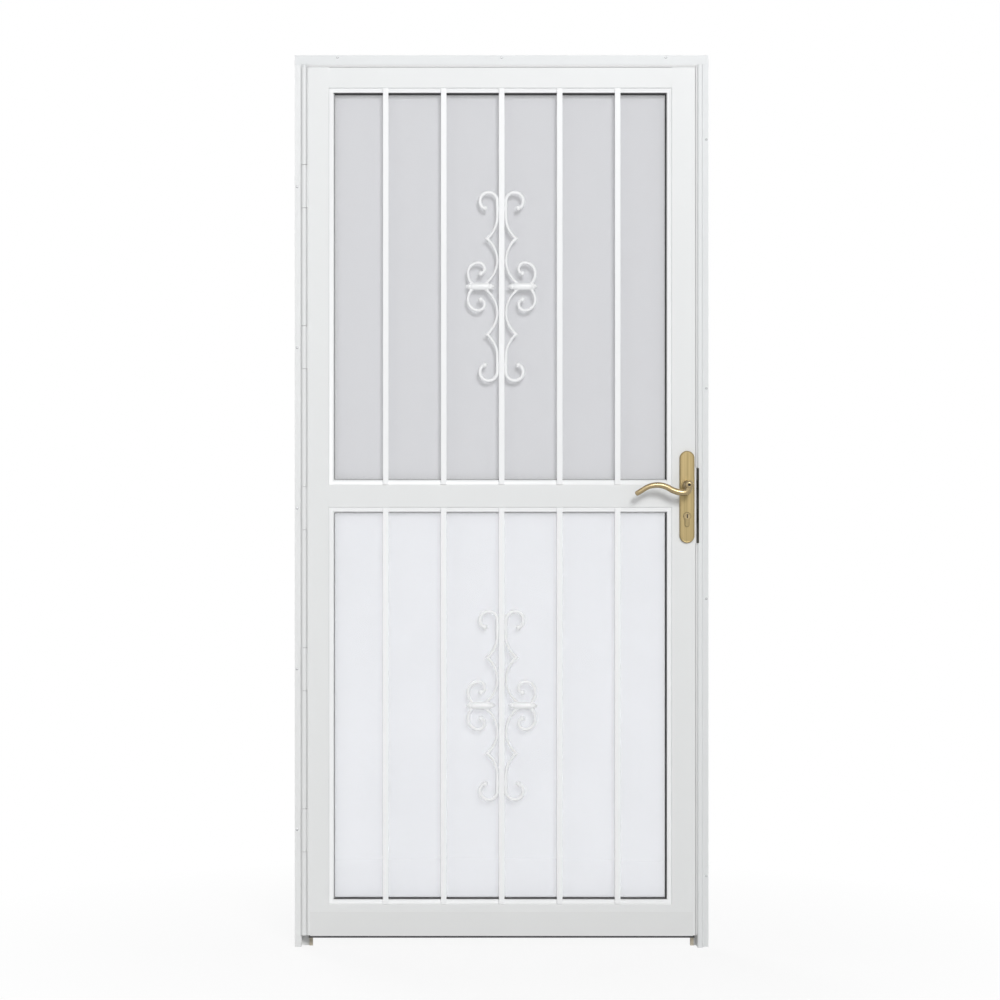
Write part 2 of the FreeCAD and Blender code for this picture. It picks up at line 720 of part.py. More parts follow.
def ring(bay, outer, inner, y_range):
    """A rectangular frame; outer and inner are insets from the tubes round the opening."""
    x_outer = (STILE_IN + outer, LATCH_STILE_IN - outer)
    z_outer = (bay[0] + outer, bay[1] - outer)
    x_inner = (STILE_IN + inner, LATCH_STILE_IN - inner)
    z_inner = (bay[0] + inner, bay[1] - inner)
    return block(x_outer, y_range, z_outer).cut(block(x_inner, y_range, z_inner))


def gasket(bay):
    """A black strip between the lip and the pane, with its edge just showing."""
    return ring(bay, LIP_WIDTH - GASKET_LAP, LIP_WIDTH + GASKET_SHOW, (LIP_BACK, PANE_FRONT))


def pane(bay, thickness):
    """A sheet that fills its insert frame's rebate."""
    inset = INSERT_CLEARANCE + INSERT_LEG
    x_range = (STILE_IN + inset, LATCH_STILE_IN - inset)
    return block(x_range, (PANE_FRONT, PANE_FRONT + thickness), (bay[0] + inset, bay[1] - inset))


def screen_mesh():
    """A sheet with a coarse grid of openings that stands for the fine weave."""
    sheet = pane(UPPER_BAY, SCREEN_THICKNESS)
    box = sheet.BoundBox
    across = box.XLength / SCREEN_OPENINGS_ACROSS
    up = box.ZLength / SCREEN_OPENINGS_UP
    half_x = across * SCREEN_OPENING_SHARE / 2
    half_z = up * SCREEN_OPENING_SHARE / 2
    openings = []
    for column in range(SCREEN_OPENINGS_ACROSS):
        x = box.XMin + (column + 0.5) * across
        for row in range(SCREEN_OPENINGS_UP):
            z = box.ZMin + (row + 0.5) * up
            openings.append(block((x - half_x, x + half_x), (box.YMin, box.YMax), (z - half_z, z + half_z)))
    return sheet.cut(separate(openings))


def insert_frame(bay, thickness):
    """The removable frame behind a pane, flush with the back of the leaf."""
    frame = ring(bay, INSERT_CLEARANCE, LIP_WIDTH - INSERT_HIDE, (PANE_FRONT, LEAF_BACK))
    return frame.cut(pane(bay, thickness))


def insert_clips():
    """Turn clips on the back of the stiles that hold both inserts in."""
    clips = []
    y_range = (LEAF_BACK, LEAF_BACK + CLIP_SHEET)
    for bay in (LOWER_BAY, UPPER_BAY):
        for share in (1, 3, 5):
            middle = bay[0] + (bay[1] - bay[0]) * share / 6
            z_range = (middle - CLIP_WIDTH / 2, middle + CLIP_WIDTH / 2)
            reach = CLIP_LENGTH - LIP_WIDTH + INSERT_HIDE
            left = STILE_IN - reach
            right = LATCH_STILE_IN + reach
            clips.append(block((left, left + CLIP_LENGTH), y_range, z_range))
            clips.append(block((right - CLIP_LENGTH, right), y_range, z_range))
    return separate(clips)


# Bottom sweep

def door_sweep():
    """A thin channel over the foot of the leaf."""
    low = LEAF_BOTTOM - SWEEP_SHEET
    high = LEAF_BOTTOM + SWEEP_HEIGHT
    front_x = (LEAF_LEFT + SWEEP_INSET_FRONT, LEAF_RIGHT - SWEEP_INSET_FRONT)
    back_x = (LEAF_LEFT + SWEEP_INSET_BACK, LEAF_RIGHT - SWEEP_INSET_BACK)
    front = block(front_x, (LEAF_FRONT - SWEEP_SHEET, LEAF_FRONT), (low, high))
    under = block(front_x, (LEAF_FRONT, LEAF_BACK), (low, LEAF_BOTTOM))
    back = block(back_x, (LEAF_BACK, LEAF_BACK + SWEEP_SHEET), (low, high))
    return fuse([front, under, back])


def sweep_fin():
    """The vinyl fin that hangs from the sweep's front edge towards the sill."""
    x_range = (LEAF_LEFT + FIN_INSET, LEAF_RIGHT - FIN_INSET)
    y_range = (LEAF_FRONT + FIN_SETBACK, LEAF_FRONT + FIN_SETBACK + FIN_THICKNESS)
    top = LEAF_BOTTOM - SWEEP_SHEET
    return block(x_range, y_range, (top - FIN_DROP, top))


# Lock and handles

def hub_bore():
    return HUB_NECK + 2 * HUB_RUNNING_GAP


def cylinder_outline(clearance, y_range):
    """The key cylinder's keyhole-shaped bar, round above and a web below."""
    radius = CYLINDER_RADIUS + clearance
    half_web = CYLINDER_WEB / 2 + clearance
    length = y_range[1] - y_range[0]
    foot = CYLINDER_Z + CYLINDER_RADIUS - CYLINDER_HEIGHT + CYLINDER_WEB / 2
    barrel = rod((SPINDLE_X, y_range[0], CYLINDER_Z), ALONG_Y, radius, length)
    web = block((SPINDLE_X - half_web, SPINDLE_X + half_web), y_range, (foot, CYLINDER_Z))
    end = rod((SPINDLE_X, y_range[0], foot), ALONG_Y, half_web, length)
    return fuse([barrel, web, end])


def key_cylinder():
    """A double cylinder through the leaf, with a keyway at each end."""
    front = LEAF_FRONT - PLATE_THICKNESS - CYLINDER_PROUD
    back = LEAF_BACK + PLATE_THICKNESS + CYLINDER_PROUD
    keyway_x = (SPINDLE_X - KEYWAY_WIDTH / 2, SPINDLE_X + KEYWAY_WIDTH / 2)
    keyway_z = (CYLINDER_Z - KEYWAY_HEIGHT / 2, CYLINDER_Z + KEYWAY_HEIGHT / 2)
    body = cylinder_outline(0, (front, back))
    body = body.cut(block(keyway_x, (front, front + KEYWAY_DEPTH), keyway_z))
    return body.cut(block(keyway_x, (back - KEYWAY_DEPTH, back), keyway_z))


def outside_plate():
    """The long brass plate with round ends and a bevelled edge."""
    half = PLATE_WIDTH / 2
    face = LEAF_FRONT - PLATE_THICKNESS
    top = (SPINDLE_X, LEAF_FRONT, PLATE_TOP - half)
    bottom = (SPINDLE_X, LEAF_FRONT, PLATE_BOTTOM + half)
    outward = ALONG_Y * -1
    x_range = (SPINDLE_X - half, SPINDLE_X + half)
    middle = block(x_range, (face, LEAF_FRONT), (bottom[2], top[2]))
    ends = [rod(place, outward, half, PLATE_THICKNESS) for place in (top, bottom)]
    plate = fuse([middle] + ends)
    rim = [edge for edge in plate.Edges if abs(edge.BoundBox.YMax - face) < 1e-6]
    plate = plate.makeChamfer(PLATE_BEVEL, rim)
    hub_way = rod((SPINDLE_X, face, SPINDLE_HEIGHT), ALONG_Y, hub_bore() / 2, PLATE_THICKNESS)
    return plate.cut(hub_way).cut(cylinder_outline(CYLINDER_CLEARANCE, (face, LEAF_FRONT)))


def inside_copy(shape):
    """The same piece on the inside face of the leaf."""
    return shape.mirror(Vector(0, LEAF_MIDDLE_Y, 0), ALONG_Y)


def lever_line():
    """The wave's centre line as stations of (x, z, heading): elbow, valley, hump, tip."""
    turn = LEVER_VALLEY_TURN
    elbow_end = (SPINDLE_X - LEVER_ELBOW_RADIUS, SPINDLE_HEIGHT - LEVER_DROP)
    elbow = (elbow_end[0], elbow_end[1] + LEVER_ELBOW_RADIUS)
    valley = (elbow_end[0], elbow_end[1] + LEVER_VALLEY_RADIUS)
    sway = polar(valley, LEVER_VALLEY_RADIUS, -90 - turn)
    hump = polar(sway, LEVER_HUMP_RADIUS, -90 - turn)
    arcs = [
        (elbow, LEVER_ELBOW_RADIUS, 0, -90, 3),
        (valley, LEVER_VALLEY_RADIUS, -90, -90 - turn, 3),
        (hump, LEVER_HUMP_RADIUS, 90 - turn, 90 + turn, 5),
    ]
    stations = [(SPINDLE_X, SPINDLE_HEIGHT, -90)]
    for centre, radius, start, end, steps in arcs:
        for step in range(1, steps + 1):
            degrees = start + (end - start) * step / steps
            x, z = polar(centre, radius, degrees)
            stations.append((x, z, degrees + math.copysign(90, end - start)))
    x, z, heading = stations[-1]
    tip = polar((x, z), LEVER_TIP, heading)
    return stations + [(tip[0], tip[1], heading)]


def lever_arm(depth):
    """The tapered arm: a loft through sections of few sides, closed by a rounded tip."""
    stations = lever_line()
    last = len(stations) - 1
    radii = [(LEVER_ROOT + (LEVER_END - LEVER_ROOT) * i / last) / 2 for i in range(last + 1)]
    x, z, heading = stations[-1]
    for angle in (40, 75):
        reach = radii[last] * math.sin(math.radians(angle))
        end = polar((x, z), reach, heading)
        stations.append((end[0], end[1], heading))
        radii.append(radii[last] * math.cos(math.radians(angle)))
    sections = []
    for (x, z, heading), radius in zip(stations, radii):
        points = []
        for side in range(LEVER_SIDES + 1):
            turn = 2 * math.pi * side / LEVER_SIDES
            across = polar((x, z), radius * math.cos(turn), heading + 90)
            points.append(Vector(across[0], depth + radius * math.sin(turn), across[1]))
        sections.append(Part.makePolygon(points))
    return Part.makeLoft(sections, True, True)


def outside_lever():
    """A hub on the spindle and a wave-shaped lever that points away from the edge."""
    face = LEAF_FRONT - PLATE_THICKNESS
    collar_back = face - HUB_RUNNING_GAP
    collar_front = collar_back - HUB_COLLAR_LENGTH
    arm_y = face - LEVER_STANDOFF
    half = LEVER_ROOT / 2
    neck = HUB_NECK / 2
    profile = [
        (0, LEAF_FRONT - HUB_RUNNING_GAP),
        (neck, LEAF_FRONT - HUB_RUNNING_GAP),
        (neck, collar_back),
        (HUB_COLLAR / 2, collar_back),
        (HUB_COLLAR / 2, collar_front),
        (neck, collar_front),
        (neck, arm_y - half),
        (0, arm_y - half - HUB_CROWN),
    ]
    points = [Vector(SPINDLE_X + radius, y, SPINDLE_HEIGHT) for radius, y in profile]
    outline = Part.Face(Part.makePolygon(points + points[:1]))
    hub = outline.revolve(Vector(SPINDLE_X, 0, SPINDLE_HEIGHT), ALONG_Y, 360)
    return fuse([hub, lever_arm(arm_y)]).cut(spindle())


def spindle_ends():
    """How far the spindle reaches into each lever's hub."""
    reach = PLATE_THICKNESS + SPINDLE_SOCKET
    return (LEAF_FRONT - reach, LEAF_BACK + reach)


def spindle():
    """The square bar that joins the two levers through the lock."""
    half = SPINDLE / 2
    x_range = (SPINDLE_X - half, SPINDLE_X + half)
    return block(x_range, spindle_ends(), (SPINDLE_HEIGHT - half, SPINDLE_HEIGHT + half))


def bolt_windows(x_range, clearance):
    """The openings for the latch and the bolt, or their noses with a clearance taken off."""
    half = WINDOW_DEPTH / 2 - clearance
    y_range = (LEAF_MIDDLE_Y - half, LEAF_MIDDLE_Y + half)
    blocks = []
    for middle, height in WINDOWS:
        reach = height / 2 - clearance
        blocks.append(block(x_range, y_range, (middle - reach, middle + reach)))
    return separate(blocks)


def faceplate_blank():
    """The edge plate before its windows, let in flush with the leaf's latch edge."""
    x_range = (LEAF_RIGHT - FACEPLATE_THICKNESS, LEAF_RIGHT)
    y_range = (LEAF_MIDDLE_Y - FACEPLATE_WIDTH / 2, LEAF_MIDDLE_Y + FACEPLATE_WIDTH / 2)
    half = FACEPLATE_HEIGHT / 2
    return block(x_range, y_range, (LOCK_MIDDLE_Z - half, LOCK_MIDDLE_Z + half))


def lock_faceplate():
    """The brass edge plate, with windows for the latch and the bolt."""
    return faceplate_blank().cut(bolt_windows((LEAF_RIGHT - FACEPLATE_THICKNESS, LEAF_RIGHT), 0))


def lock_case():
    """The mortise case behind the faceplate, with the drawn-back latch and bolt in its windows."""
    back = LEAF_RIGHT - FACEPLATE_THICKNESS
    y_range = (LEAF_MIDDLE_Y - CASE_DEPTH / 2, LEAF_MIDDLE_Y + CASE_DEPTH / 2)
    half = CASE_HEIGHT / 2
    case = block((back - CASE_WIDTH, back), y_range, (LOCK_MIDDLE_Z - half, LOCK_MIDDLE_Z + half))
    follower = SPINDLE * math.sqrt(2) / 2 + FOLLOWER_CLEARANCE
    way = rod((SPINDLE_X, y_range[0], SPINDLE_HEIGHT), ALONG_Y, follower, CASE_DEPTH)
    case = case.cut(way).cut(cylinder_outline(CYLINDER_CLEARANCE, y_range))
    noses = bolt_windows((back, LEAF_RIGHT), BOLT_CLEARANCE)
    return fuse([case] + noses.Solids)


def build():
    """Every sub-part by its node name."""
    nodes = {
        "head_jamb": head_jamb(),
        "hinge_jamb": hinge_jamb(),
        "latch_jamb": latch_jamb(),
        "strike_plate": strike_plate(),
        "head_weatherstrip": head_weatherstrip(),
        "hinge_weatherstrip": hinge_weatherstrip(),
        "latch_weatherstrip": latch_weatherstrip(),
        "jamb_hinge": jamb_hinge(),
        "hinge_pin": hinge_pin(),
        "leaf_hinge_knuckles": leaf_hinge_knuckles(),
        "hinge_stile": hinge_stile(),
        "latch_stile": latch_stile(),
        "top_rail": top_rail(),
        "lock_rail": lock_rail(),
        "bottom_rail": bottom_rail(),
        "pane_gaskets": separate([gasket(UPPER_BAY), gasket(LOWER_BAY)]),
        "screen_mesh": screen_mesh(),
        "screen_frame": insert_frame(UPPER_BAY, SCREEN_THICKNESS),
        "glass_pane": pane(LOWER_BAY, GLASS_THICKNESS),
        "glass_frame": insert_frame(LOWER_BAY, GLASS_THICKNESS),
        "insert_clips": insert_clips(),
        "door_sweep": door_sweep(),
        "sweep_fin": sweep_fin(),
        "lock_case": lock_case(),
        "lock_faceplate": lock_faceplate(),
        "key_cylinder": key_cylinder(),
        "outside_plate": outside_plate(),
        "inside_plate": inside_copy(outside_plate()),
        "outside_lever": outside_lever(),
        "inside_lever": inside_copy(outside_lever()),
        "spindle": spindle(),
    }
    for name, bay in (("upper", UPPER_BAY), ("lower", LOWER_BAY)):
        for index in range(BARS):
            nodes[f"{name}_bar_{index + 1}"] = bar(index, bay)
        nodes[f"{name}_scroll_left"] = placed_scroll(bay, -1)
        nodes[f"{name}_scroll_right"] = placed_scroll(bay, 1)
    return nodes


def main():
    os.makedirs("parts", exist_ok=True)
    for name, shape in build().items():
        shape.exportStep(os.path.join("parts", f"{name}.step"))
        box = shape.BoundBox
        print(name, len(shape.Solids), shape.isValid(), round(shape.Volume / 1000, 2), "cm3", box)


main()
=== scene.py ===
# %% [markdown]
# # A steel security screen door
# The door's tubes, jambs and hinge come ready made at their real size, one object for each piece.
# This lesson leaves those pieces where they are and gives them their looks: paint, brass, rubber,
# glass. It then models what is too fine for the construction model, such as the rounded castings,
# the woven screen, the wave levers, weld beads and screws.

# %% Load the door
import json
import math
import random

import bmesh
import bpy
from mathutils import Matrix, Vector


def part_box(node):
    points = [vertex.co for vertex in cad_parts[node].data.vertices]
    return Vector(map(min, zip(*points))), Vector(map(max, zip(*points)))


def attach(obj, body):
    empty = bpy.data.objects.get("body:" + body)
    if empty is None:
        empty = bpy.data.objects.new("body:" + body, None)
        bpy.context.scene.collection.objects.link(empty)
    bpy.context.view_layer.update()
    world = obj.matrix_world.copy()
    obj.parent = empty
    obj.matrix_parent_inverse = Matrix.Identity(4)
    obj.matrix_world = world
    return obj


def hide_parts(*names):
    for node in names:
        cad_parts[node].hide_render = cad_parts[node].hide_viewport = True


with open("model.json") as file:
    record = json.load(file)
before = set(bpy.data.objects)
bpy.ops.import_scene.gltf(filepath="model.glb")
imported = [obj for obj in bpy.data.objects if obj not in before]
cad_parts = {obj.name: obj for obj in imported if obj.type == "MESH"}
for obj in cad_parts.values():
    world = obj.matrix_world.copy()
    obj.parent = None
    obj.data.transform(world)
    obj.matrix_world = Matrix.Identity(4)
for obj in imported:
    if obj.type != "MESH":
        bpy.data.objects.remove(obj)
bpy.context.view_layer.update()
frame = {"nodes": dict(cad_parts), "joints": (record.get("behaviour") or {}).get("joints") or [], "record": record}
nodes = frame["nodes"]
scene = bpy.context.scene
MM = 0.001
print("pieces in the frame:", len(nodes))

# %% [markdown]
# ## The camera
# The photo was taken square on, so upright edges stay upright. We place the camera by what the picture
# spans at the face of the leaf: 2.304 m. It stands a little towards the hinge side, so the black strips
# show a little more on the right, and a small lens shift keeps the framing.

# %% Camera
PICTURE_SPAN = 2.304
PICTURE_MIDDLE = Vector((0.4655, 0, 1.032))
CAMERA_DISTANCE = 6.0
CAMERA_SHIFT = 0.1
SENSOR_WIDTH = 36.0

leaf_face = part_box("hinge_stile")[0].y
camera_data = bpy.data.cameras.new("front_camera")
camera_data.sensor_width = SENSOR_WIDTH
camera_data.lens = SENSOR_WIDTH * CAMERA_DISTANCE / PICTURE_SPAN
camera_data.shift_x = CAMERA_SHIFT
camera = bpy.data.objects.new("front_camera", camera_data)
stand = Vector((-CAMERA_SHIFT * PICTURE_SPAN, leaf_face - CAMERA_DISTANCE, 0))
camera.location = PICTURE_MIDDLE + stand
camera.rotation_euler = (math.radians(90), 0, 0)
scene.collection.objects.link(camera)
scene.camera = camera
scene.view_settings.view_transform = "Standard"
print("lens in mm:", round(camera_data.lens, 1))

# %% [markdown]
# ## Light and backdrop
# A product picture like this has a white backdrop and a large soft lamp, high and a little to the
# right. Its size decides the shadows: those of the bars, close above the screen, stay narrow, while
# that of the lever, far above the rail, turns wide and soft. The world shows white to the camera, to
# reflections and through glass, but lights the paint only gently. A faint lamp on the left fills the
# shadows a little, and one behind the door keeps its inside face readable when it is seen from there.

# %% World, floor and lamps
AMBIENT = 0.25
AMBIENT_TINT = (0.97, 0.985, 1.0, 1)
FLOOR_TINT = (0.9, 0.9, 0.9, 1)
FLOOR_HALF_SIZE = 30.0
FLOOR_WHITE_SHARE = 0.86
FLOOR_FADE = (0.35, 1.5)
# Each lamp has a name, a place, a point it aims at, a size in metres and a power in watts.
LAMPS = (
    ("key_lamp", (2.9, -13.5, 7.5), (0.47, 0, 1.1), 4.0, 1140.0),
    ("fill_lamp", (-2.6, -3.0, 1.8), (0.45, 0, 1.0), 2.2, 15.0),
    ("back_lamp", (-3.4, 8.6, 6.2), (0.47, 0, 1.1), 4.0, 450.0),
)


def link(tree, output, socket):
    tree.links.new(output, socket)


def math_node(tree, operation, first, second):
    """A Math node on two values, each a number or the output of another node."""
    node = tree.nodes.new("ShaderNodeMath")
    node.operation = operation
    for socket, value in zip(node.inputs, (first, second)):
        if isinstance(value, (int, float)):
            socket.default_value = value
        else:
            link(tree, value, socket)
    return node.outputs[0]


def seen_directly(tree):
    """A value of 1 for camera, mirror and glass rays, and 0 for light that bounces off paint."""
    rays = tree.nodes.new("ShaderNodeLightPath").outputs
    mirror_or_glass = math_node(tree, "MAXIMUM", rays["Is Glossy Ray"], rays["Is Transmission Ray"])
    return math_node(tree, "MAXIMUM", rays["Is Camera Ray"], mirror_or_glass)


def blend_shaders(tree, factor, first, second, output_kind):
    """Mix two shader nodes and feed the tree's output with them."""
    mix = tree.nodes.new("ShaderNodeMixShader")
    link(tree, factor, mix.inputs["Fac"])
    link(tree, first.outputs[0], mix.inputs[1])
    link(tree, second.outputs[0], mix.inputs[2])
    link(tree, mix.outputs[0], tree.nodes.new(output_kind).inputs["Surface"])


def studio_world():
    """White where it is seen, and a gentle light for everything else."""
    world = bpy.data.worlds.new("studio")
    world.use_nodes = True
    tree = world.node_tree
    tree.nodes.clear()
    soft = tree.nodes.new("ShaderNodeBackground")
    soft.inputs["Color"].default_value = AMBIENT_TINT
    soft.inputs["Strength"].default_value = AMBIENT
    white = tree.nodes.new("ShaderNodeBackground")
    white.inputs["Color"].default_value = (1, 1, 1, 1)
    blend_shaders(tree, seen_directly(tree), soft, white, "ShaderNodeOutputWorld")
    return world


def floor_finish():
    """Pale floor with the door's shadow, which turns into the white backdrop further away."""
    material = bpy.data.materials.new("pale_floor")
    material.use_nodes = True
    tree = material.node_tree
    tree.nodes.clear()
    matt = tree.nodes.new("ShaderNodeBsdfDiffuse")
    matt.inputs["Color"].default_value = FLOOR_TINT
    white = tree.nodes.new("ShaderNodeEmission")
    away = tree.nodes.new("ShaderNodeVectorMath")
    away.operation = "DISTANCE"
    away.inputs[1].default_value = (PICTURE_MIDDLE.x, 0, 0)
    fade = tree.nodes.new("ShaderNodeMapRange")
    fade.inputs["From Min"].default_value = FLOOR_FADE[0]
    fade.inputs["From Max"].default_value = FLOOR_FADE[1]
    fade.inputs["To Min"].default_value = FLOOR_WHITE_SHARE
    link(tree, tree.nodes.new("ShaderNodeTexCoord").outputs["Object"], away.inputs[0])
    link(tree, away.outputs["Value"], fade.inputs["Value"])
    share = math_node(tree, "MULTIPLY", seen_directly(tree), fade.outputs["Result"])
    blend_shaders(tree, share, matt, white, "ShaderNodeOutputMaterial")
    return material


def lamp(name, place, aim, size, power):
    """A square soft lamp that points at a place."""
    data = bpy.data.lights.new(name, "AREA")
    data.size = size
    data.energy = power
    light = bpy.data.objects.new(name, data)
    light.location = place
    light.rotation_euler = (Vector(aim) - Vector(place)).to_track_quat("-Z", "Y").to_euler()
    scene.collection.objects.link(light)


scene.world = studio_world()
floor_form = bmesh.new()
bmesh.ops.create_grid(floor_form, x_segments=1, y_segments=1, size=FLOOR_HALF_SIZE)
floor_data = bpy.data.meshes.new("floor")
floor_form.to_mesh(floor_data)
floor_form.free()
floor_data.materials.append(floor_finish())
floor = bpy.data.objects.new("floor", floor_data)
scene.collection.objects.link(floor)
for settings in LAMPS:
    lamp(*settings)
print("lamps:", [settings[0] for settings in LAMPS])

# %% [markdown]
# ## Effects that several finishes share
# Powder coat, brass and steel all need a fine surface: a bump, and small changes of colour and
# gloss. We build each effect once as a node group with named inputs, and place it in every material
# that needs it with other values. All patterns read Object coordinates, so they are in metres.

# %% Node groups
PEEL_SCALE = 900.0
MOTTLE_SCALE = 6.0
MOTTLE_SHADES = (0.988, 1.0)
# Below this height the coat greys towards the floor: dust, and painted shade where the lamp's light falls off.
DUST_AND_SHADE_TOP = 2.1
DUST_AND_SHADE_PATCHES = (0.9, 1.0)
ROUGHNESS_SCALE = 40.0
ROUGHNESS_CHANGE = (-0.02, 0.02)
GRAIN_ROUGHNESS_CHANGE = (-0.06, 0.06)
TARNISH_SCALE = 0.25
TARNISH_DULLING = 0.12
BUMP_DEPTH = 0.05 * MM
SURFACE = [("Colour", "Color"), ("Roughness", "Float"), ("Normal", "Vector")]


def new_group(name, inputs):
    """An empty shader group with the named inputs and a surface as output, and its two end nodes."""
    tree = bpy.data.node_groups.new(name, "ShaderNodeTree")
    for side, sockets in (("INPUT", inputs), ("OUTPUT", SURFACE)):
        for label, kind in sockets:
            tree.interface.new_socket(label, in_out=side, socket_type="NodeSocket" + kind)
    return tree, tree.nodes.new("NodeGroupInput"), tree.nodes.new("NodeGroupOutput")


def object_place(tree):
    return tree.nodes.new("ShaderNodeTexCoord").outputs["Object"]


def noise(tree, coordinates, scale, detail):
    texture = tree.nodes.new("ShaderNodeTexNoise")
    texture.inputs["Scale"].default_value = scale
    texture.inputs["Detail"].default_value = detail
    link(tree, coordinates, texture.inputs["Vector"])
    return texture.outputs["Fac"]


def spread(tree, value, low, high):
    """Stretch the middle of a noise to the range from low to high."""
    node = tree.nodes.new("ShaderNodeMapRange")
    node.inputs["From Min"].default_value = 0.3
    node.inputs["From Max"].default_value = 0.7
    node.inputs["To Min"].default_value = low
    node.inputs["To Max"].default_value = high
    link(tree, value, node.inputs["Value"])
    return node.outputs["Result"]


def blend_colours(tree, factor, first, second, how="MIX"):
    node = tree.nodes.new("ShaderNodeMix")
    node.data_type = "RGBA"
    node.blend_type = how
    for index, value in ((0, factor), (6, first), (7, second)):
        if isinstance(value, (int, float, tuple)):
            node.inputs[index].default_value = value
        else:
            link(tree, value, node.inputs[index])
    return node.outputs[2]


def bump(tree, height, depth, normal):
    """Feed a normal socket with a bump, and return the socket for its strength."""
    node = tree.nodes.new("ShaderNodeBump")
    node.inputs["Distance"].default_value = depth
    link(tree, height, node.inputs["Height"])
    link(tree, node.outputs["Normal"], normal)
    return node.inputs["Strength"]


def coat_group():
    """Powder coat: orange peel, faint mottling, and a greyer tint low down, partly dust and partly painted shade.
    """
    tree, start, end = new_group(
        "coat_surface",
        [("Tint", "Color"), ("Shade and Dust Tint", "Color"), ("Shade and Dust", "Float"), ("Roughness", "Float"),
         ("Peel", "Float")],
    )
    place = object_place(tree)
    mottle = noise(tree, place, MOTTLE_SCALE, 2.0)
    # The coat turns greyer towards the floor: dust, and painted shade for the light that falls off downwards.
    height = tree.nodes.new("ShaderNodeSeparateXYZ")
    link(tree, place, height.inputs[0])
    low = tree.nodes.new("ShaderNodeMapRange")
    low.inputs["From Min"].default_value = DUST_AND_SHADE_TOP
    low.inputs["From Max"].default_value = 0.0
    link(tree, height.outputs["Z"], low.inputs["Value"])
    patches = spread(tree, mottle, *DUST_AND_SHADE_PATCHES)
    shade_and_dust_mask = math_node(tree, "MULTIPLY", low.outputs["Result"], patches)
    shade_and_dust_mask = math_node(tree, "MULTIPLY", shade_and_dust_mask, start.outputs["Shade and Dust"])
    cloudy = spread(tree, mottle, *MOTTLE_SHADES)
    grey = tree.nodes.new("ShaderNodeCombineColor")
    for channel in grey.inputs:
        link(tree, cloudy, channel)
    coat = blend_colours(tree, 1.0, start.outputs["Tint"], grey.outputs[0], "MULTIPLY")
    link(tree, blend_colours(tree, shade_and_dust_mask, coat, start.outputs["Shade and Dust Tint"]), end.inputs["Colour"])
    uneven = spread(tree, noise(tree, place, ROUGHNESS_SCALE, 3.0), *ROUGHNESS_CHANGE)
    link(tree, math_node(tree, "ADD", start.outputs["Roughness"], uneven), end.inputs["Roughness"])
    strength = bump(tree, noise(tree, place, PEEL_SCALE, 2.0), BUMP_DEPTH, end.inputs["Normal"])
    link(tree, start.outputs["Peel"], strength)
    return tree


def metal_group():
    """Brushed or cast metal: grain along one direction, and streaks of tarnish along it."""
    tree, start, end = new_group(
        "metal_surface",
        [("Tint", "Color"), ("Tarnish", "Color"), ("Patina", "Float"), ("Roughness", "Float"),
         ("Grain", "Vector"), ("Depth", "Float")],
    )
    stretch = tree.nodes.new("ShaderNodeVectorMath")
    stretch.operation = "MULTIPLY"
    link(tree, object_place(tree), stretch.inputs[0])
    link(tree, start.outputs["Grain"], stretch.inputs[1])
    grain = noise(tree, stretch.outputs[0], 1.0, 3.0)
    cloud = noise(tree, stretch.outputs[0], TARNISH_SCALE, 4.0)
    patches = math_node(tree, "MULTIPLY", spread(tree, cloud, 0.0, 1.0), start.outputs["Patina"])
    tint = blend_colours(tree, patches, start.outputs["Tint"], start.outputs["Tarnish"])
    link(tree, tint, end.inputs["Colour"])
    uneven = spread(tree, grain, *GRAIN_ROUGHNESS_CHANGE)
    rough = math_node(tree, "ADD", start.outputs["Roughness"], uneven)
    duller = math_node(tree, "MULTIPLY", patches, TARNISH_DULLING)
    link(tree, math_node(tree, "ADD", rough, duller), end.inputs["Roughness"])
    strength = bump(tree, grain, BUMP_DEPTH, end.inputs["Normal"])
    link(tree, start.outputs["Depth"], strength)
    return tree


COAT = coat_group()
METAL = metal_group()
print("groups:", COAT.name, METAL.name)

# %% [markdown]
# ## Finishes
# White powder coat covers all the steel. The bars, castings and beads get a brighter copy of it, a
# painted highlight, as they stand proud and catch the lamp. The lock plates are satin brass with upright
# brushing, and the levers a smoother brass. Numbers that are the same all over are set on the shader itself.

# %% Materials
# The greyer tint towards the floor: dust, and painted shade.
PALE_SHADE_AND_DUST = (0.66, 0.645, 0.61, 1)
GREY_DUST = (0.09, 0.088, 0.085, 1)
GLASS_TINTS = ((0.89, 0.90, 0.93, 1), (0.91, 0.92, 0.95, 1))
GLASS_STREAK_SCALE = 5.0
PILE_TINTS = ((0.42, 0.36, 0.27, 1), (0.72, 0.66, 0.54, 1))
PILE_FIBRE_SCALE = 1400.0
PILE_BUMP_DEPTH = 0.3 * MM


def shader(name, **settings):
    """A material with one Principled shader; settings go on its sockets by name."""
    material = bpy.data.materials.new(name)
    material.use_nodes = True
    principled = material.node_tree.nodes["Principled BSDF"]
    for label, value in settings.items():
        principled.inputs[label.replace("_", " ")].default_value = value
    return material, principled


def dress(material, principled, group, values):
    """Place a group in a material and feed colour, roughness and normal from it."""
    tree = material.node_tree
    effect = tree.nodes.new("ShaderNodeGroup")
    effect.node_tree = group
    for label, value in values.items():
        effect.inputs[label].default_value = value
    link(tree, effect.outputs["Colour"], principled.inputs["Base Color"])
    link(tree, effect.outputs["Roughness"], principled.inputs["Roughness"])
    link(tree, effect.outputs["Normal"], principled.inputs["Normal"])
    return material


def coat_finish(name, tint, roughness, peel, shade_and_dust_share, shade_and_dust_tint=PALE_SHADE_AND_DUST):
    material, principled = shader(name, IOR=1.5)
    values = {
        "Tint": (*tint, 1), "Shade and Dust Tint": shade_and_dust_tint, "Shade and Dust": shade_and_dust_share, "Roughness": roughness, "Peel": peel,
    }
    return dress(material, principled, COAT, values)


def metal_finish(name, tint, tarnish, patina, roughness, grain, depth):
    material, principled = shader(name, Metallic=1.0)
    values = {
        "Tint": (*tint, 1), "Tarnish": (*tarnish, 1), "Patina": patina, "Roughness": roughness,
        "Grain": grain, "Depth": depth,
    }
    return dress(material, principled, METAL, values)


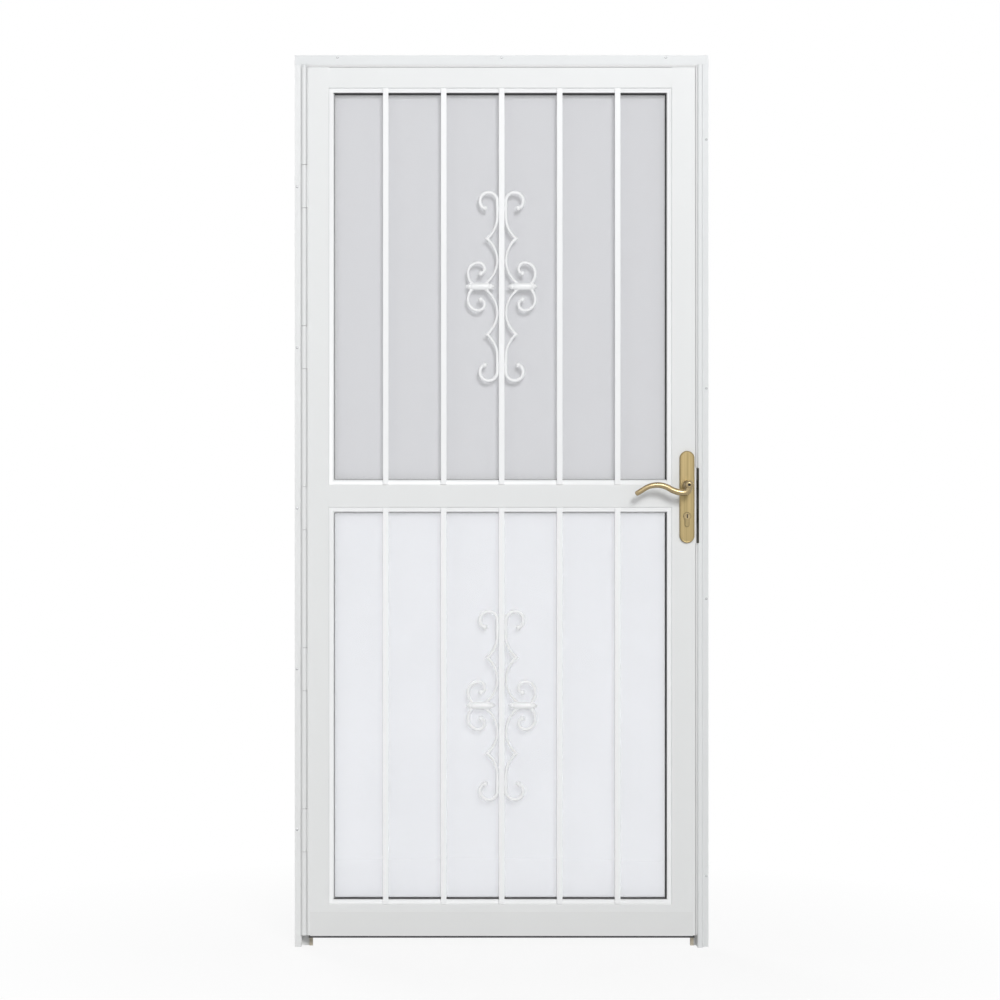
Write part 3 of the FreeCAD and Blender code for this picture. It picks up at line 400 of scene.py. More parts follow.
def glass_finish():
    """Toughened glass with a thin haze, so that faint shadows of the bars fall on it."""
    material, principled = shader("clear_glass", Transmission_Weight=0.75, Roughness=0.02, IOR=1.46)
    tree = material.node_tree
    streaks = spread(tree, noise(tree, object_place(tree), GLASS_STREAK_SCALE, 3.0), 0.0, 1.0)
    link(tree, blend_colours(tree, streaks, *GLASS_TINTS), principled.inputs["Base Color"])
    return material


def pile_finish():
    """Woven pile: tan fibres, some lighter than others."""
    material, principled = shader("tan_pile", Roughness=0.85, Sheen_Weight=0.4)
    tree = material.node_tree
    fibres = noise(tree, object_place(tree), PILE_FIBRE_SCALE, 2.0)
    tint = blend_colours(tree, spread(tree, fibres, 0.0, 1.0), *PILE_TINTS)
    link(tree, tint, principled.inputs["Base Color"])
    bump(tree, fibres, PILE_BUMP_DEPTH, principled.inputs["Normal"])
    return material


# Each coat has a tint, a roughness, the strength of its orange peel and a share of dust and painted shade towards
# the floor.
tube_paint = coat_finish("white_tube_paint", (0.84, 0.85, 0.85), 0.36, 0.25, 0.16)
# The same white coat painted brighter: a painted highlight on the bars, castings and beads that stand proud.
highlight_white = coat_finish("white_with_painted_highlight", (0.955, 0.96, 0.965), 0.34, 0.25, 0.06)
# The same white coat painted a shade darker for the head and latch jambs: a shaded copy, which is painted shade.
jamb_white_shaded_copy = coat_finish("jamb_white_painted_darker", (0.80, 0.815, 0.82), 0.38, 0.1, 0.14)
aluminium_coat = coat_finish("white_aluminium_coat", (0.80, 0.805, 0.80), 0.3, 0.15, 0.1)
screen_coat = coat_finish("grey_screen_coat", (0.60, 0.605, 0.635), 0.55, 0.3, 0.0)
seal_vinyl = coat_finish("white_seal_vinyl", (0.80, 0.80, 0.80), 0.5, 0.2, 0.05)
rubber = coat_finish("black_rubber", (0.016, 0.016, 0.018), 0.55, 0.6, 0.3, GREY_DUST)
# Each metal has a tint, a tarnish and its share, a roughness, and its grain with the grain's depth.
plate_brass = metal_finish(
    "satin_brass", (0.395, 0.305, 0.155), (0.225, 0.18, 0.083), 0.75, 0.33, (900.0, 900.0, 25.0), 0.5)
lever_brass = metal_finish(
    "polished_brass", (0.37, 0.29, 0.165), (0.26, 0.20, 0.11), 0.3, 0.29, (60.0, 300.0, 300.0), 0.12)
# The strike's brass is darkened almost to black: painted shade for the narrow gap between the leaf and the jamb
# where it sits.
strike_painted_shade = metal_finish(
    "brass_painted_shade_dark", (0.065, 0.055, 0.035), (0.03, 0.026, 0.02), 0.5, 0.5, (300.0, 300.0, 40.0), 0.3)
cylinder_brass = metal_finish(
    "dull_brass", (0.30, 0.235, 0.12), (0.18, 0.145, 0.075), 0.5, 0.4, (300.0, 300.0, 300.0), 0.2)
bare_steel = metal_finish(
    "zinc_steel", (0.56, 0.57, 0.58), (0.36, 0.36, 0.36), 0.5, 0.36, (300.0, 300.0, 40.0), 0.3)
# Black steel for the set screw; the same black serves as painted shade in the key's slot and round the cylinder.
dark_steel_and_painted_shade = metal_finish(
    "dark_steel_and_painted_shade", (0.03, 0.03, 0.032), (0.015, 0.015, 0.015), 0.4, 0.5, (300.0, 300.0, 300.0), 0.2)
glass = glass_finish()
pile = pile_finish()
print("materials:", len(bpy.data.materials))

# %% [markdown]
# ## Paint on the ready-made pieces
# Each node gets its finish in its material slot. Rolled bars and pressed plates never have razor edges,
# so on the bars, the faceplate and the strike a Weld and a Bevel modifier round the sharp edges by about
# half a millimetre: the meshes stay as they are, and the small rounds catch the light.

# %% Finishes for the nodes
BAR_EDGE_ROUND = 0.5 * MM
PLATE_EDGE_ROUND = 0.4 * MM
WELD_DISTANCE = 0.01 * MM
SHARP_ANGLE = 40


def names(*parts):
    """All nodes whose names hold one of these parts."""
    return [name for name in nodes if any(part in name for part in parts)]


def paint(node_names, material):
    """Give nodes a finish in place of the one they have."""
    for name in node_names:
        nodes[name].data.materials.clear()
        nodes[name].data.materials.append(material)


def soften(node_names, width):
    """Round the sharp edges of nodes without touching their meshes."""
    for name in node_names:
        weld = nodes[name].modifiers.new("weld", "WELD")
        weld.merge_threshold = WELD_DISTANCE
        bevel = nodes[name].modifiers.new("soft_edges", "BEVEL")
        bevel.width = width
        bevel.segments = 2
        bevel.limit_method = "ANGLE"
        bevel.angle_limit = math.radians(SHARP_ANGLE)
        bevel.harden_normals = True


paint(nodes, tube_paint)
# The hinge jamb keeps the brighter tube white, painted light against the shadow of its barrel; the head and latch
# jambs take the darker copy.
paint(names("head_jamb", "latch_jamb"), jamb_white_shaded_copy)
paint(names("bar_"), highlight_white)
paint(names("_frame", "sweep", "clips"), aluminium_coat)
paint(names("gaskets", "fin"), rubber)
paint(names("glass_pane"), glass)
paint(names("faceplate"), plate_brass)
paint(names("cylinder"), cylinder_brass)
paint(names("strike"), strike_painted_shade)
paint(names("pin", "spindle", "lock_case"), bare_steel)
paint(names("weatherstrip"), pile)
paint(names("screen_mesh"), screen_coat)
soften(names("bar_"), BAR_EDGE_ROUND)
soften(names("faceplate", "strike"), PLATE_EDGE_ROUND)
print("painted:", len(nodes))

# %% [markdown]
# ## Turning a bmesh into a piece
# Every new piece ends the same way: doubles are merged, faces are turned outwards, a finish goes on,
# and the piece is told which body of the door it moves with. Edges that fold sharply stay crisp. What
# sits on both faces of the leaf, such as the levers, is made twice and mirrored through the leaf.

# %% Helpers for new pieces
MERGE_DISTANCE = 0.001 * MM
ALONG_X = Vector((1, 0, 0))
ALONG_Y = Vector((0, 1, 0))
ALONG_Z = Vector((0, 0, 1))
leaf_middle_y = (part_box("hinge_stile")[0].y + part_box("hinge_stile")[1].y) / 2
turn_inside = Matrix.Translation((0, 2 * leaf_middle_y, 0)) @ Matrix.Diagonal((1, -1, 1, 1))


def place_mesh(name, data, material, body, stands_for=(), crisp=35):
    """Give a mesh its finish, and hang it on a body of the door in place of the nodes it stands for."""
    data.materials.append(material)
    data.shade_smooth()
    data.set_sharp_from_angle(angle=math.radians(crisp))
    piece = bpy.data.objects.new(name, data)
    scene.collection.objects.link(piece)
    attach(piece, body)
    if stands_for:
        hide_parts(*stands_for)
    print(name, "faces:", len(data.polygons))


def make_piece(name, form, material, body, stands_for=(), crisp=35):
    """Close a bmesh and place it as a piece."""
    bmesh.ops.remove_doubles(form, verts=form.verts, dist=MERGE_DISTANCE)
    bmesh.ops.recalc_face_normals(form, faces=form.faces)
    data = bpy.data.meshes.new(name)
    form.to_mesh(data)
    form.free()
    place_mesh(name, data, material, body, stands_for, crisp)


def at_both_faces(name, make, material, body, stands_for="", crisp=30):
    """One piece on the outside, and its mirror image on the inside."""
    for face in ("outside", "inside"):
        form = make(bmesh.new())
        if face == "inside":
            bmesh.ops.transform(form, matrix=turn_inside, verts=form.verts)
        replaced = [f"{face}_{stands_for}"] if stands_for else ()
        make_piece(f"{face}_{name}", form, material, body, replaced, crisp)


def joint_place(name):
    """Where a joint of the door sits, in metres."""
    joint = next(joint for joint in frame["joints"] if joint["name"] == name)
    return Vector(joint["pos_m"])


def only(kind, geometry):
    """The items of one kind from what an operator gives back."""
    return [item for item in geometry if isinstance(item, kind)]


def polar(centre, radius, degrees):
    """The point at a distance and an angle from a centre."""
    angle = math.radians(degrees)
    return (centre[0] + radius * math.cos(angle), centre[1] + radius * math.sin(angle))


def arc_line(centre, radius, start, end, steps):
    """Places (x, z) and headings along an arc in the plane of the door."""
    line = []
    for step in range(steps + 1):
        degrees = start + (end - start) * step / steps
        line.append((*polar(centre, radius, degrees), degrees + math.copysign(90, end - start)))
    return line


def section_place(x, y, z, heading, half_width, half_depth):
    """Where a section sits, square to the line's heading; sizes in millimetres."""
    turn = math.radians(heading)
    across = Vector((-math.sin(turn), 0, math.cos(turn))) * half_width * MM
    through = Vector((0, half_depth * MM, 0))
    along = Vector((-math.cos(turn), 0, -math.sin(turn)))
    turned = Matrix((across, through, along)).transposed().to_4x4()
    return Matrix.Translation(Vector((x, y, z)) * MM) @ turned


def sweep(form, sections, sides):
    """Extrude a ring from section to section, and close both ends."""
    first = bmesh.ops.create_circle(form, cap_ends=True, segments=sides, radius=1.0, matrix=sections[0])
    rim = list({edge for vert in first["verts"] for edge in vert.link_edges})
    for before, after in zip(sections, sections[1:]):
        grown = bmesh.ops.extrude_edge_only(form, edges=rim)["geom"]
        rim = [edge for edge in only(bmesh.types.BMEdge, grown) if edge.is_boundary]
        tips = only(bmesh.types.BMVert, grown)
        bmesh.ops.transform(form, matrix=after @ before.inverted(), verts=tips)
    bmesh.ops.contextual_create(form, geom=rim)


def spin_profile(form, profile, centre, axis, across, steps):
    """Turn a profile of (radius, distance along the axis) into a round form, as on a lathe."""
    verts = [
        form.verts.new(centre + across * radius * MM + axis * along * MM) for radius, along in profile]
    edges = [form.edges.new(pair) for pair in zip(verts, verts[1:])]
    bmesh.ops.spin(
        form, geom=verts + edges, cent=centre, axis=axis, angle=2 * math.pi, steps=steps, use_merge=True)


print("helpers ready, leaf middle at y in mm:", round(leaf_middle_y / MM, 2))

# %% [markdown]
# ## Scroll castings
# The scrolls are small iron castings, welded to the middle bar. Their strands swell at the curls and
# thin out on the belly, and end in balls; a turned collar holds each pair of curls. We draw one half
# of a casting from arcs, in millimetres from the middle of the bar: a long strand with its curl, the
# belly, the beak and the C-curl. Each arc has a width at its start and at its end. The skin that comes
# next takes a little off by smoothing, so SKIN_LOSS is added to every width.

# %% The lines of a scroll
SCROLL_HALF_DEPTH = 3.9
SKIN_LOSS = 0.7
BAR_FACE_X = 6.35
SHANK_X = 9.95
CURL_RADIUS = 20.0
CURL_HEIGHT = 197.0
CURL_CENTRE = (SHANK_X + CURL_RADIUS, CURL_HEIGHT)
CURL_START = -40
TAIL_RADIUS = 10.0
TAIL_START = -85
TAIL_CENTRE = polar(CURL_CENTRE, TAIL_RADIUS, CURL_START)
BEND_RADIUS = 66.0
BEND_HEIGHT = 161.0
BEND_CENTRE = (SHANK_X + BEND_RADIUS, BEND_HEIGHT)
BEND_END = 230
BEAK = polar(BEND_CENTRE, BEND_RADIUS, BEND_END)
BEAK_REACH = (-4.5, 0.0, 6.0)
BELLY_POINT = (SHANK_X + 0.3, 60.0)
WAIST = (SHANK_X + 38.4, 0.0)
C_OUTER_X = BAR_FACE_X + 71.2
C_HEIGHT = 31.0
C_START = -52
C_END = 260
# The four arcs of the C-curl, from its stem to its tail.
C_RADII = (36.0, 24.0, 14.4, 10.6)
BALL_RADIUS = 6.0


def circle_through(first, second, third):
    """Centre and radius of the circle through three points."""
    start = Vector(first)
    one = Vector(second) - start
    two = Vector(third) - start
    twice = 2 * one.cross(two)
    across = (one.length_squared * two.y - two.length_squared * one.y) / twice
    up = (two.length_squared * one.x - one.length_squared * two.x) / twice
    return start + Vector((across, up)), Vector((across, up)).length


def bearing(centre, point):
    """The angle at which a point lies from a centre, in degrees."""
    return math.degrees(math.atan2(point[1] - centre[1], point[0] - centre[0])) % 360


def tapered(*runs):
    """Join runs of (line, first width, last width) into sections, one after the other."""
    sections = []
    for line, first, last in runs:
        for index, (x, z, heading) in enumerate(line):
            width = first + (last - first) * index / (len(line) - 1) + SKIN_LOSS
            if sections and index == 0:
                continue
            sections.append(section_place(x, 0, z, heading, width / 2, SCROLL_HALF_DEPTH))
    return sections


belly_centre, belly_radius = circle_through(BEAK, BELLY_POINT, WAIST)
belly_ends = (bearing(belly_centre, BEAK), bearing(belly_centre, WAIST))
belly = arc_line(belly_centre, belly_radius, *belly_ends, 22)
shank_drop = (CURL_HEIGHT - BEND_HEIGHT) / 6
shank_line = [(SHANK_X, CURL_HEIGHT - shank_drop * step, 270) for step in range(7)]
long_strand = tapered(
    (arc_line(TAIL_CENTRE, TAIL_RADIUS, TAIL_START, CURL_START, 6), 6.4, 7.6),
    (arc_line(CURL_CENTRE, CURL_RADIUS, CURL_START, 180, 22), 7.6, 7.2),
    (shank_line, 7.2, 6.2),
    (arc_line(BEND_CENTRE, BEND_RADIUS, 180, BEND_END, 14), 6.2, 5.8),
)
belly_strand = tapered((belly[:12], 6.2, 4.9), (belly[11:], 4.9, 5.6))
beak_strand = tapered(([(BEAK[0] + reach, BEAK[1], 0) for reach in BEAK_REACH], 8.5, 1.2))
c_stem = (C_OUTER_X - C_RADII[0], C_HEIGHT)
c_centre = (C_OUTER_X - C_RADII[1], C_HEIGHT)
c_inner = (c_centre[0], c_centre[1] + C_RADII[1] - C_RADII[2])
c_tail = (c_inner[0] - C_RADII[2] + C_RADII[3], c_inner[1])
c_strand = tapered(
    (arc_line(c_stem, C_RADII[0], C_START, 0, 9), 6.2, 6.6),
    (arc_line(c_centre, C_RADII[1], 0, 90, 12), 6.6, 7.0),
    (arc_line(c_inner, C_RADII[2], 90, 180, 9), 7.0, 6.6),
    (arc_line(c_tail, C_RADII[3], 180, C_END, 8), 6.6, 5.8),
)
ball_places = [polar(TAIL_CENTRE, TAIL_RADIUS, TAIL_START), polar(c_tail, C_RADII[3], C_END)]
print("strand sections:", len(long_strand) + len(belly_strand) + len(c_strand))

# %% [markdown]
# ## One skin for four castings
# Curve objects can't give such a taper and soft joints together. So we extrude a ring along each
# strand, add balls, beak, weld and collar as closed forms, and let a voxel Remesh draw one skin over
# all of them: its smoothing gives the small fillets that molten iron leaves. One casting serves all
# four places, mirrored on the left of its bar.

# %% One casting, its skin and its four places
SKIN_VOXEL = 0.75
SKIN_KEPT = 0.34
SKIN_ROUNDS = 3
STRAND_SIDES = 12
COLLAR_X = BAR_FACE_X + 42.5
COLLAR_PROFILE = (
    (0.0, -33.5), (1.3, -33.2), (3.8, -30.6), (6.4, -27.0), (7.1, -25.2), (6.2, -23.4), (5.6, -22.4),
    (6.9, -21.0), (8.1, -18.4), (8.7, -12.0), (8.9, 0.0),
)
BLOB_PLACE = (BAR_FACE_X + 1.6, 0.4, 179.0)
BLOB_REACH = (3.8, 3.6, 8.0)


def drop(form, x, y, z, reach, fineness):
    """A stretched sphere, as weld metal leaves it; all in millimetres."""
    place = Matrix.Translation(Vector((x, y, z)) * MM) @ Matrix.Diagonal((*reach, 1.0))
    bmesh.ops.create_icosphere(form, subdivisions=fineness, radius=MM, matrix=place)


def half_casting(form):
    """The strands, the balls and the weld above the waist."""
    for strand in (long_strand, belly_strand, beak_strand, c_strand):
        sweep(form, strand, STRAND_SIDES)
    for x, z in ball_places:
        place = Matrix.Translation(Vector((x, 0, z)) * MM)
        bmesh.ops.create_icosphere(form, subdivisions=3, radius=BALL_RADIUS * MM, matrix=place)
    drop(form, *BLOB_PLACE, BLOB_REACH, 3)


def one_skin(form):
    """Cover overlapping closed forms with one smooth skin, and thin it out."""
    data = bpy.data.meshes.new("forms")
    form.to_mesh(data)
    form.free()
    rough = bpy.data.objects.new("forms", data)
    scene.collection.objects.link(rough)
    remesh = rough.modifiers.new("skin", "REMESH")
    remesh.mode = "VOXEL"
    remesh.voxel_size = SKIN_VOXEL * MM
    smooth = rough.modifiers.new("smooth", "SMOOTH")
    smooth.factor = 0.5
    smooth.iterations = SKIN_ROUNDS
    thin = rough.modifiers.new("thin", "DECIMATE")
    thin.ratio = SKIN_KEPT
    result = rough.evaluated_get(bpy.context.evaluated_depsgraph_get())
    skin = bpy.data.meshes.new_from_object(result)
    bpy.data.objects.remove(rough)
    return skin


def casting_skin():
    """Both halves and the collar between them, under one skin."""
    form = bmesh.new()
    half_casting(form)
    everything = form.verts[:] + form.edges[:] + form.faces[:]
    lower = bmesh.ops.duplicate(form, geom=everything)["geom"]
    bmesh.ops.scale(form, vec=(1, 1, -1), verts=only(bmesh.types.BMVert, lower))
    other_end = tuple((radius, -along) for radius, along in reversed(COLLAR_PROFILE[:-1]))
    collar_middle = Vector((COLLAR_X, 0, 0)) * MM
    spin_profile(form, COLLAR_PROFILE + other_end, collar_middle, ALONG_X, ALONG_Z, 24)
    bmesh.ops.recalc_face_normals(form, faces=form.faces)
    return one_skin(form)


casting = casting_skin()
for bay in ("upper", "lower"):
    for side, mirror in (("left", -1), ("right", 1)):
        bar_low, bar_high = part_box(bay + "_bar_3")
        node_low, node_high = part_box(f"{bay}_scroll_{side}")
        middle = (bar_low + bar_high) / 2
        middle.z = (node_low.z + node_high.z) / 2
        copy = casting.copy()
        copy.transform(Matrix.Translation(middle) @ Matrix.Diagonal((mirror, 1, 1, 1)))
        if mirror < 0:
            copy.flip_normals()
        name = f"{bay}_scroll_casting_{side}"
        place_mesh(name, copy, highlight_white, "leaf", [f"{bay}_scroll_{side}"], 80)

# %% [markdown]
# ## Lock plates
# Each face of the leaf has a long brass plate with round ends. It is a pressing: a short wall, a soft
# edge, a fine groove and a flat panel. We stretch a circle into a long round-ended outline, extrude
# it, then inset the front face again and again, moving each new ring in or out.

# %% Plates
PLATE_STEPS = ((0.9, -1.1), (1.1, -0.9), (0.9, 0.25), (0.7, -0.25))
PLATE_WALL = 5.0


def lock_plate(form):
    """The plate on the outside, from its wall to its flat panel."""
    low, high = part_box("outside_plate")
    middle = (low + high) / 2
    half_width = (high.x - low.x) / 2
    reach = (high.z - low.z) / 2 - half_width
    back = Vector((middle.x, high.y, middle.z))
    place = Matrix.Translation(back) @ Matrix.Rotation(math.radians(90), 4, "X")
    bmesh.ops.create_circle(form, cap_ends=True, segments=64, radius=half_width, matrix=place)
    for direction in (1, -1):
        end = [vert for vert in form.verts if (vert.co.z - middle.z) * direction > 0.01 * MM]
        bmesh.ops.translate(form, verts=end, vec=(0, 0, reach * direction))
    form.faces.ensure_lookup_table()
    grown = bmesh.ops.extrude_face_region(form, geom=[form.faces[0]])["geom"]
    front = only(bmesh.types.BMFace, grown)
    bmesh.ops.translate(form, verts=front[0].verts[:], vec=(0, -PLATE_WALL * MM, 0))
    for inset, step in PLATE_STEPS:
        bmesh.ops.inset_region(form, faces=front, thickness=inset * MM, use_even_offset=True)
        bmesh.ops.translate(form, verts=front[0].verts[:], vec=(0, step * MM, 0))
    return form


at_both_faces("lock_plate", lock_plate, plate_brass, "leaf", "plate", 12)

# %% [markdown]
# ## Wave levers
# The lever is a brass forging: a domed hub on the spindle, and an arm that leaves the hub downwards,
# swings to the side and rises in a wave. We turn the hub like a lathe does, with a profile and a full
# spin, and sweep the arm with a ring that gets thinner towards the tip. Inside the hub the arm starts
# thinner too, so it stays clear of the small set screw in the hub's dome.

# %% Levers
ARM_HEEL = 6.4
ARM_ROOT = 8.3
ARM_END = 5.8
ARM_FROM_FRONT = 10.4
ELBOW_RADIUS = 12.0
ELBOW_DROP = 18.0
VALLEY_RADIUS = 60.0
HUMP_RADIUS = 54.0
WAVE_ANGLE = 122
TIP_REACHES = (5.0, 10.0, 15.0, 21.0)
TIP_ROUNDING = ((1.2, 0.95), (2.4, 0.82), (3.3, 0.6), (3.9, 0.3))
HUB_PROFILE = (
    (0.0, -21.3), (10.4, -21.3), (10.75, -21.8), (10.75, -26.5), (10.3, -28.4), (9.0, -29.8),
    (8.2, -31.5), (7.9, -36.0), (7.9, -46.0), (8.5, -50.5), (9.7, -54.5), (10.2, -58.0), (10.0, -60.6),
    (9.2, -63.0),
    (7.6, -65.0), (5.4, -66.2), (3.9, -66.6), (3.4, -66.5), (3.1, -66.0), (3.1, -63.5), (0.0, -63.5),
)
SET_SCREW_PROFILE = (
    (0.0, -64.2), (1.3, -64.2), (1.3, -65.3), (2.8, -65.3), (3.0, -65.0), (3.0, -63.3), (0.0, -63.3),
)
spindle = joint_place("lever_turn")
hub_axis = Vector((spindle.x, 0, spindle.z))


def lever_line():
    """The wave's centre line in millimetres: elbow, valley, hump, and a straight tip."""
    x = spindle.x / MM
    z = spindle.z / MM
    foot = (x - ELBOW_RADIUS, z - ELBOW_DROP)
    valley = (foot[0], foot[1] + VALLEY_RADIUS)
    hump = polar(valley, VALLEY_RADIUS + HUMP_RADIUS, -WAVE_ANGLE)
    line = [(x, z, -90)]
    line += arc_line((foot[0], foot[1] + ELBOW_RADIUS), ELBOW_RADIUS, 0, -90, 12)
    line += arc_line(valley, VALLEY_RADIUS, -90, -WAVE_ANGLE, 10)[1:]
    line += arc_line(hump, HUMP_RADIUS, 180 - WAVE_ANGLE, WAVE_ANGLE, 18)[1:]
    end_x, end_z, heading = line[-1]
    for reach in TIP_REACHES:
        line.append((*polar((end_x, end_z), reach, heading), heading))
    return line


def wave_lever(form):
    """The arm, swept along its line with a rounded tip, and the hub."""
    line = lever_line()
    arm_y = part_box("outside_lever")[0].y / MM + ARM_FROM_FRONT
    count = len(line) - 1
    radii = [ARM_ROOT + (ARM_END - ARM_ROOT) * index / count for index in range(count + 1)]
    radii[0] = ARM_HEEL
    end_x, end_z, heading = line[-1]
    for reach, share in TIP_ROUNDING:
        line.append((*polar((end_x, end_z), reach, heading), heading))
        radii.append(ARM_END * share)
    sections = [
        section_place(x, arm_y, z, turn, radius, radius) for (x, z, turn), radius in zip(line, radii)]
    sweep(form, sections, 24)
    spin_profile(form, HUB_PROFILE, hub_axis, ALONG_Y, ALONG_X, 48)
    return form


def set_screw(form):
    """The blackened screw in the hub, with its socket; its black also serves as painted shade for the socket's
    depth.
    """
    spin_profile(form, SET_SCREW_PROFILE, hub_axis, ALONG_Y, ALONG_X, 18)
    return form


at_both_faces("wave_lever", wave_lever, lever_brass, "lever", "lever", 50)
at_both_faces("set_screw", set_screw, dark_steel_and_painted_shade, "lever")

# %% [markdown]
# ## The woven screen
# From where the photo was taken the screen looks like a plain grey sheet, but it is a net of coated
# wires. A texture would fail close up, so we lay real wires: one six-sided rod, repeated upright and
# level in two layers that touch. A spin with no angle and a step repeats a form along a line.

# %% Screen wires
WIRE_PITCH = 1.6
WIRE_WIDTH = 0.9
screen_low, screen_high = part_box("screen_mesh")
screen_middle = (screen_low + screen_high) / 2
wire_depth = (screen_high.y - screen_low.y) / 2


def wires(form, start, length, turn, step, count):
    """A row of equal rods: the first one lies at start, and the others follow step by step."""
    flat = Matrix.Diagonal((WIRE_WIDTH * MM / 2, wire_depth / 2, length, 1))
    place = Matrix.Translation(start) @ turn @ flat
    rod = bmesh.ops.create_cone(
        form, cap_ends=True, segments=6, radius1=1, radius2=1, depth=1, matrix=place)["verts"]
    geometry = list({face for vert in rod for face in vert.link_faces})
    bmesh.ops.spin(
        form, geom=geometry, cent=start, axis=ALONG_Y, dvec=step, angle=0, steps=count,
        use_duplicate=True)


def screen_net(form):
    """Upright wires in front and level wires behind, evenly spread over the sheet."""
    width = screen_high.x - screen_low.x
    height = screen_high.z - screen_low.z
    uprights = int(width / MM / WIRE_PITCH) - 1
    levels = int(height / MM / WIRE_PITCH) - 1
    pitch = WIRE_PITCH * MM
    front_y = screen_low.y + wire_depth / 2
    back_y = screen_high.y - wire_depth / 2
    first_upright = Vector((screen_middle.x - uprights * pitch / 2, front_y, screen_middle.z))
    first_level = Vector((screen_middle.x, back_y, screen_middle.z - levels * pitch / 2))
    lying = Matrix.Rotation(math.radians(90), 4, "Y")
    wires(form, first_upright, height, Matrix.Identity(4), (pitch, 0, 0), uprights)
    wires(form, first_level, width, lying, (0, 0, pitch), levels)
    print("wires:", uprights + levels + 2)
    return form


net_form = screen_net(bmesh.new())
make_piece("screen_net", net_form, screen_coat, "leaf", ["screen_mesh"], 30)

# %% [markdown]
# ## Glazing beads
# A white bead runs round each opening and covers the lip. It starts a little below the face of the
# tubes, slopes inwards and ends in a rounded edge. A rectangle that is inset again and again, each time
# moved a little, gives this profile with mitred corners. The rectangle is an open sheet, so the inset
# has to be told to start from its border as well.

# %% Beads round the two openings
LIP_WIDTH = 11.5
LIP_RECESS = 10.0
BEAD_OVERLAP = 0.7
BEAD_SINK = 0.05
BEAD_STEPS = (
    (0.05, -7.6), (1.6, 0.35), (1.8, 0.65), (1.8, 0.75), (1.3, 0.45), (0.8, -0.15), (1.0, 0.1),
    (0.9, 0.5), (0.7, 1.1), (0.5, 1.8), (0.25, 2.05),
)
left_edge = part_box("hinge_stile")[1].x
right_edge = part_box("latch_stile")[0].x
OPENINGS = {
    "upper": (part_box("lock_rail")[1].z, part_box("top_rail")[0].z),
    "lower": (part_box("bottom_rail")[1].z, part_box("lock_rail")[0].z),
}


def upright_sheet(form, x_range, z_range, y):
    """A single upright face between two edges and two heights."""
    middle = Vector((sum(x_range) / 2, y, sum(z_range) / 2))
    stretch = Matrix.Diagonal((x_range[1] - x_range[0], z_range[1] - z_range[0], 1, 1))
    place = Matrix.Translation(middle) @ Matrix.Rotation(math.radians(90), 4, "X") @ stretch
    verts = bmesh.ops.create_grid(form, x_segments=1, y_segments=1, size=0.5, matrix=place)["verts"]
    return verts[0].link_faces[0]


def glazing_bead(form, z_range):
    """The bead round one opening; its last loop is joined to the first one to close it."""
    reach = (LIP_WIDTH + BEAD_OVERLAP) * MM
    lip_y = leaf_face + (LIP_RECESS + BEAD_SINK) * MM
    outer_x = (left_edge - reach, right_edge + reach)
    outer_z = (z_range[0] - reach, z_range[1] + reach)
    face = upright_sheet(form, outer_x, outer_z, lip_y)
    for inset, step in BEAD_STEPS:
        bmesh.ops.inset_region(
            form, faces=[face], thickness=inset * MM, use_boundary=True, use_even_offset=True)
        bmesh.ops.translate(form, verts=face.verts[:], vec=(0, step * MM, 0))
    bmesh.ops.delete(form, geom=[face], context="FACES_ONLY")
    bmesh.ops.bridge_loops(form, edges=[edge for edge in form.edges if edge.is_boundary])
    return form


for bay, heights in OPENINGS.items():
    bead = glazing_bead(bmesh.new(), heights)
    make_piece(f"{bay}_glazing_bead", bead, highlight_white, "leaf", (), 50)

# %% [markdown]
# ## Black rubber lines
# Black rubber lines lie on the lip only on the lock side of each opening, at the top of the upper one
# and at the foot of the lower one: rubber, and painted shade for the reveal behind the lip. Each line
# is a long bar with rounded edges that lies on the lip: a cube that is stretched and then bevelled.
# edges that lies on the lip: a cube that is stretched and then bevelled.

# %% Rubber lines at the openings
RUBBER_FRONT = -7.0
RUBBER_BITE = 0.2
RUBBER_ROUNDING = 0.3
RUBBER_LAP = 1.0
# For each opening: the width of the line on the lock side, and of the one at the outer end.
RUBBER_AND_SHADE_LINES = {"upper": (0.9, 1.9), "lower": (1.3, 0.9)}


def soft_bar(form, x_range, y_range, z_range, rounding):
    """A block with rounded edges, from three ranges in millimetres."""
    ranges = (x_range, y_range, z_range)
    middle = Vector([sum(pair) / 2 for pair in ranges]) * MM
    stretch = Matrix.Diagonal([(pair[1] - pair[0]) * MM for pair in ranges] + [1])
    verts = bmesh.ops.create_cube(form, size=1.0, matrix=Matrix.Translation(middle) @ stretch)["verts"]
    edges = list({edge for vert in verts for edge in vert.link_edges})
    bmesh.ops.bevel(
        form, geom=edges, offset=rounding * MM, offset_type="OFFSET", affect="EDGES", segments=3,
        profile=0.5, material=-1)


# Rubber on the lip that also serves as painted shade for the reveal between the lip and the pane.
rubber_and_shade_form = bmesh.new()
for bay, (side_width, end_width) in RUBBER_AND_SHADE_LINES.items():
    foot, top = (height / MM for height in OPENINGS[bay])
    depth = (RUBBER_FRONT, LIP_RECESS + leaf_face / MM + RUBBER_BITE)
    left = left_edge / MM - RUBBER_LAP
    right = right_edge / MM + side_width
    if bay == "upper":
        end = (top - RUBBER_BITE, top + end_width)
    else:
        end = (foot - end_width, foot + RUBBER_BITE)
    upright = (foot - RUBBER_LAP, top + RUBBER_LAP)
    soft_bar(rubber_and_shade_form, (right_edge / MM - RUBBER_BITE, right), depth, upright, RUBBER_ROUNDING)
    soft_bar(rubber_and_shade_form, (left, right), depth, end, RUBBER_ROUNDING)
make_piece("rubber_and_shade_lines", rubber_and_shade_form, rubber, "leaf", (), 40)

# %% [markdown]
# ## Soft bars: seals, hinge strip and dressed welds
# The gap round the leaf looks shallow and pale in the photo, so a bulb seal fills it. Along the
# hinge, the strip that carries the knuckles fills the gap, and a turned cap closes the barrel. Where
# rails meet stiles the welds are ground flush, so no seam shows. All but the cap are soft bars like the
# rubber lines.

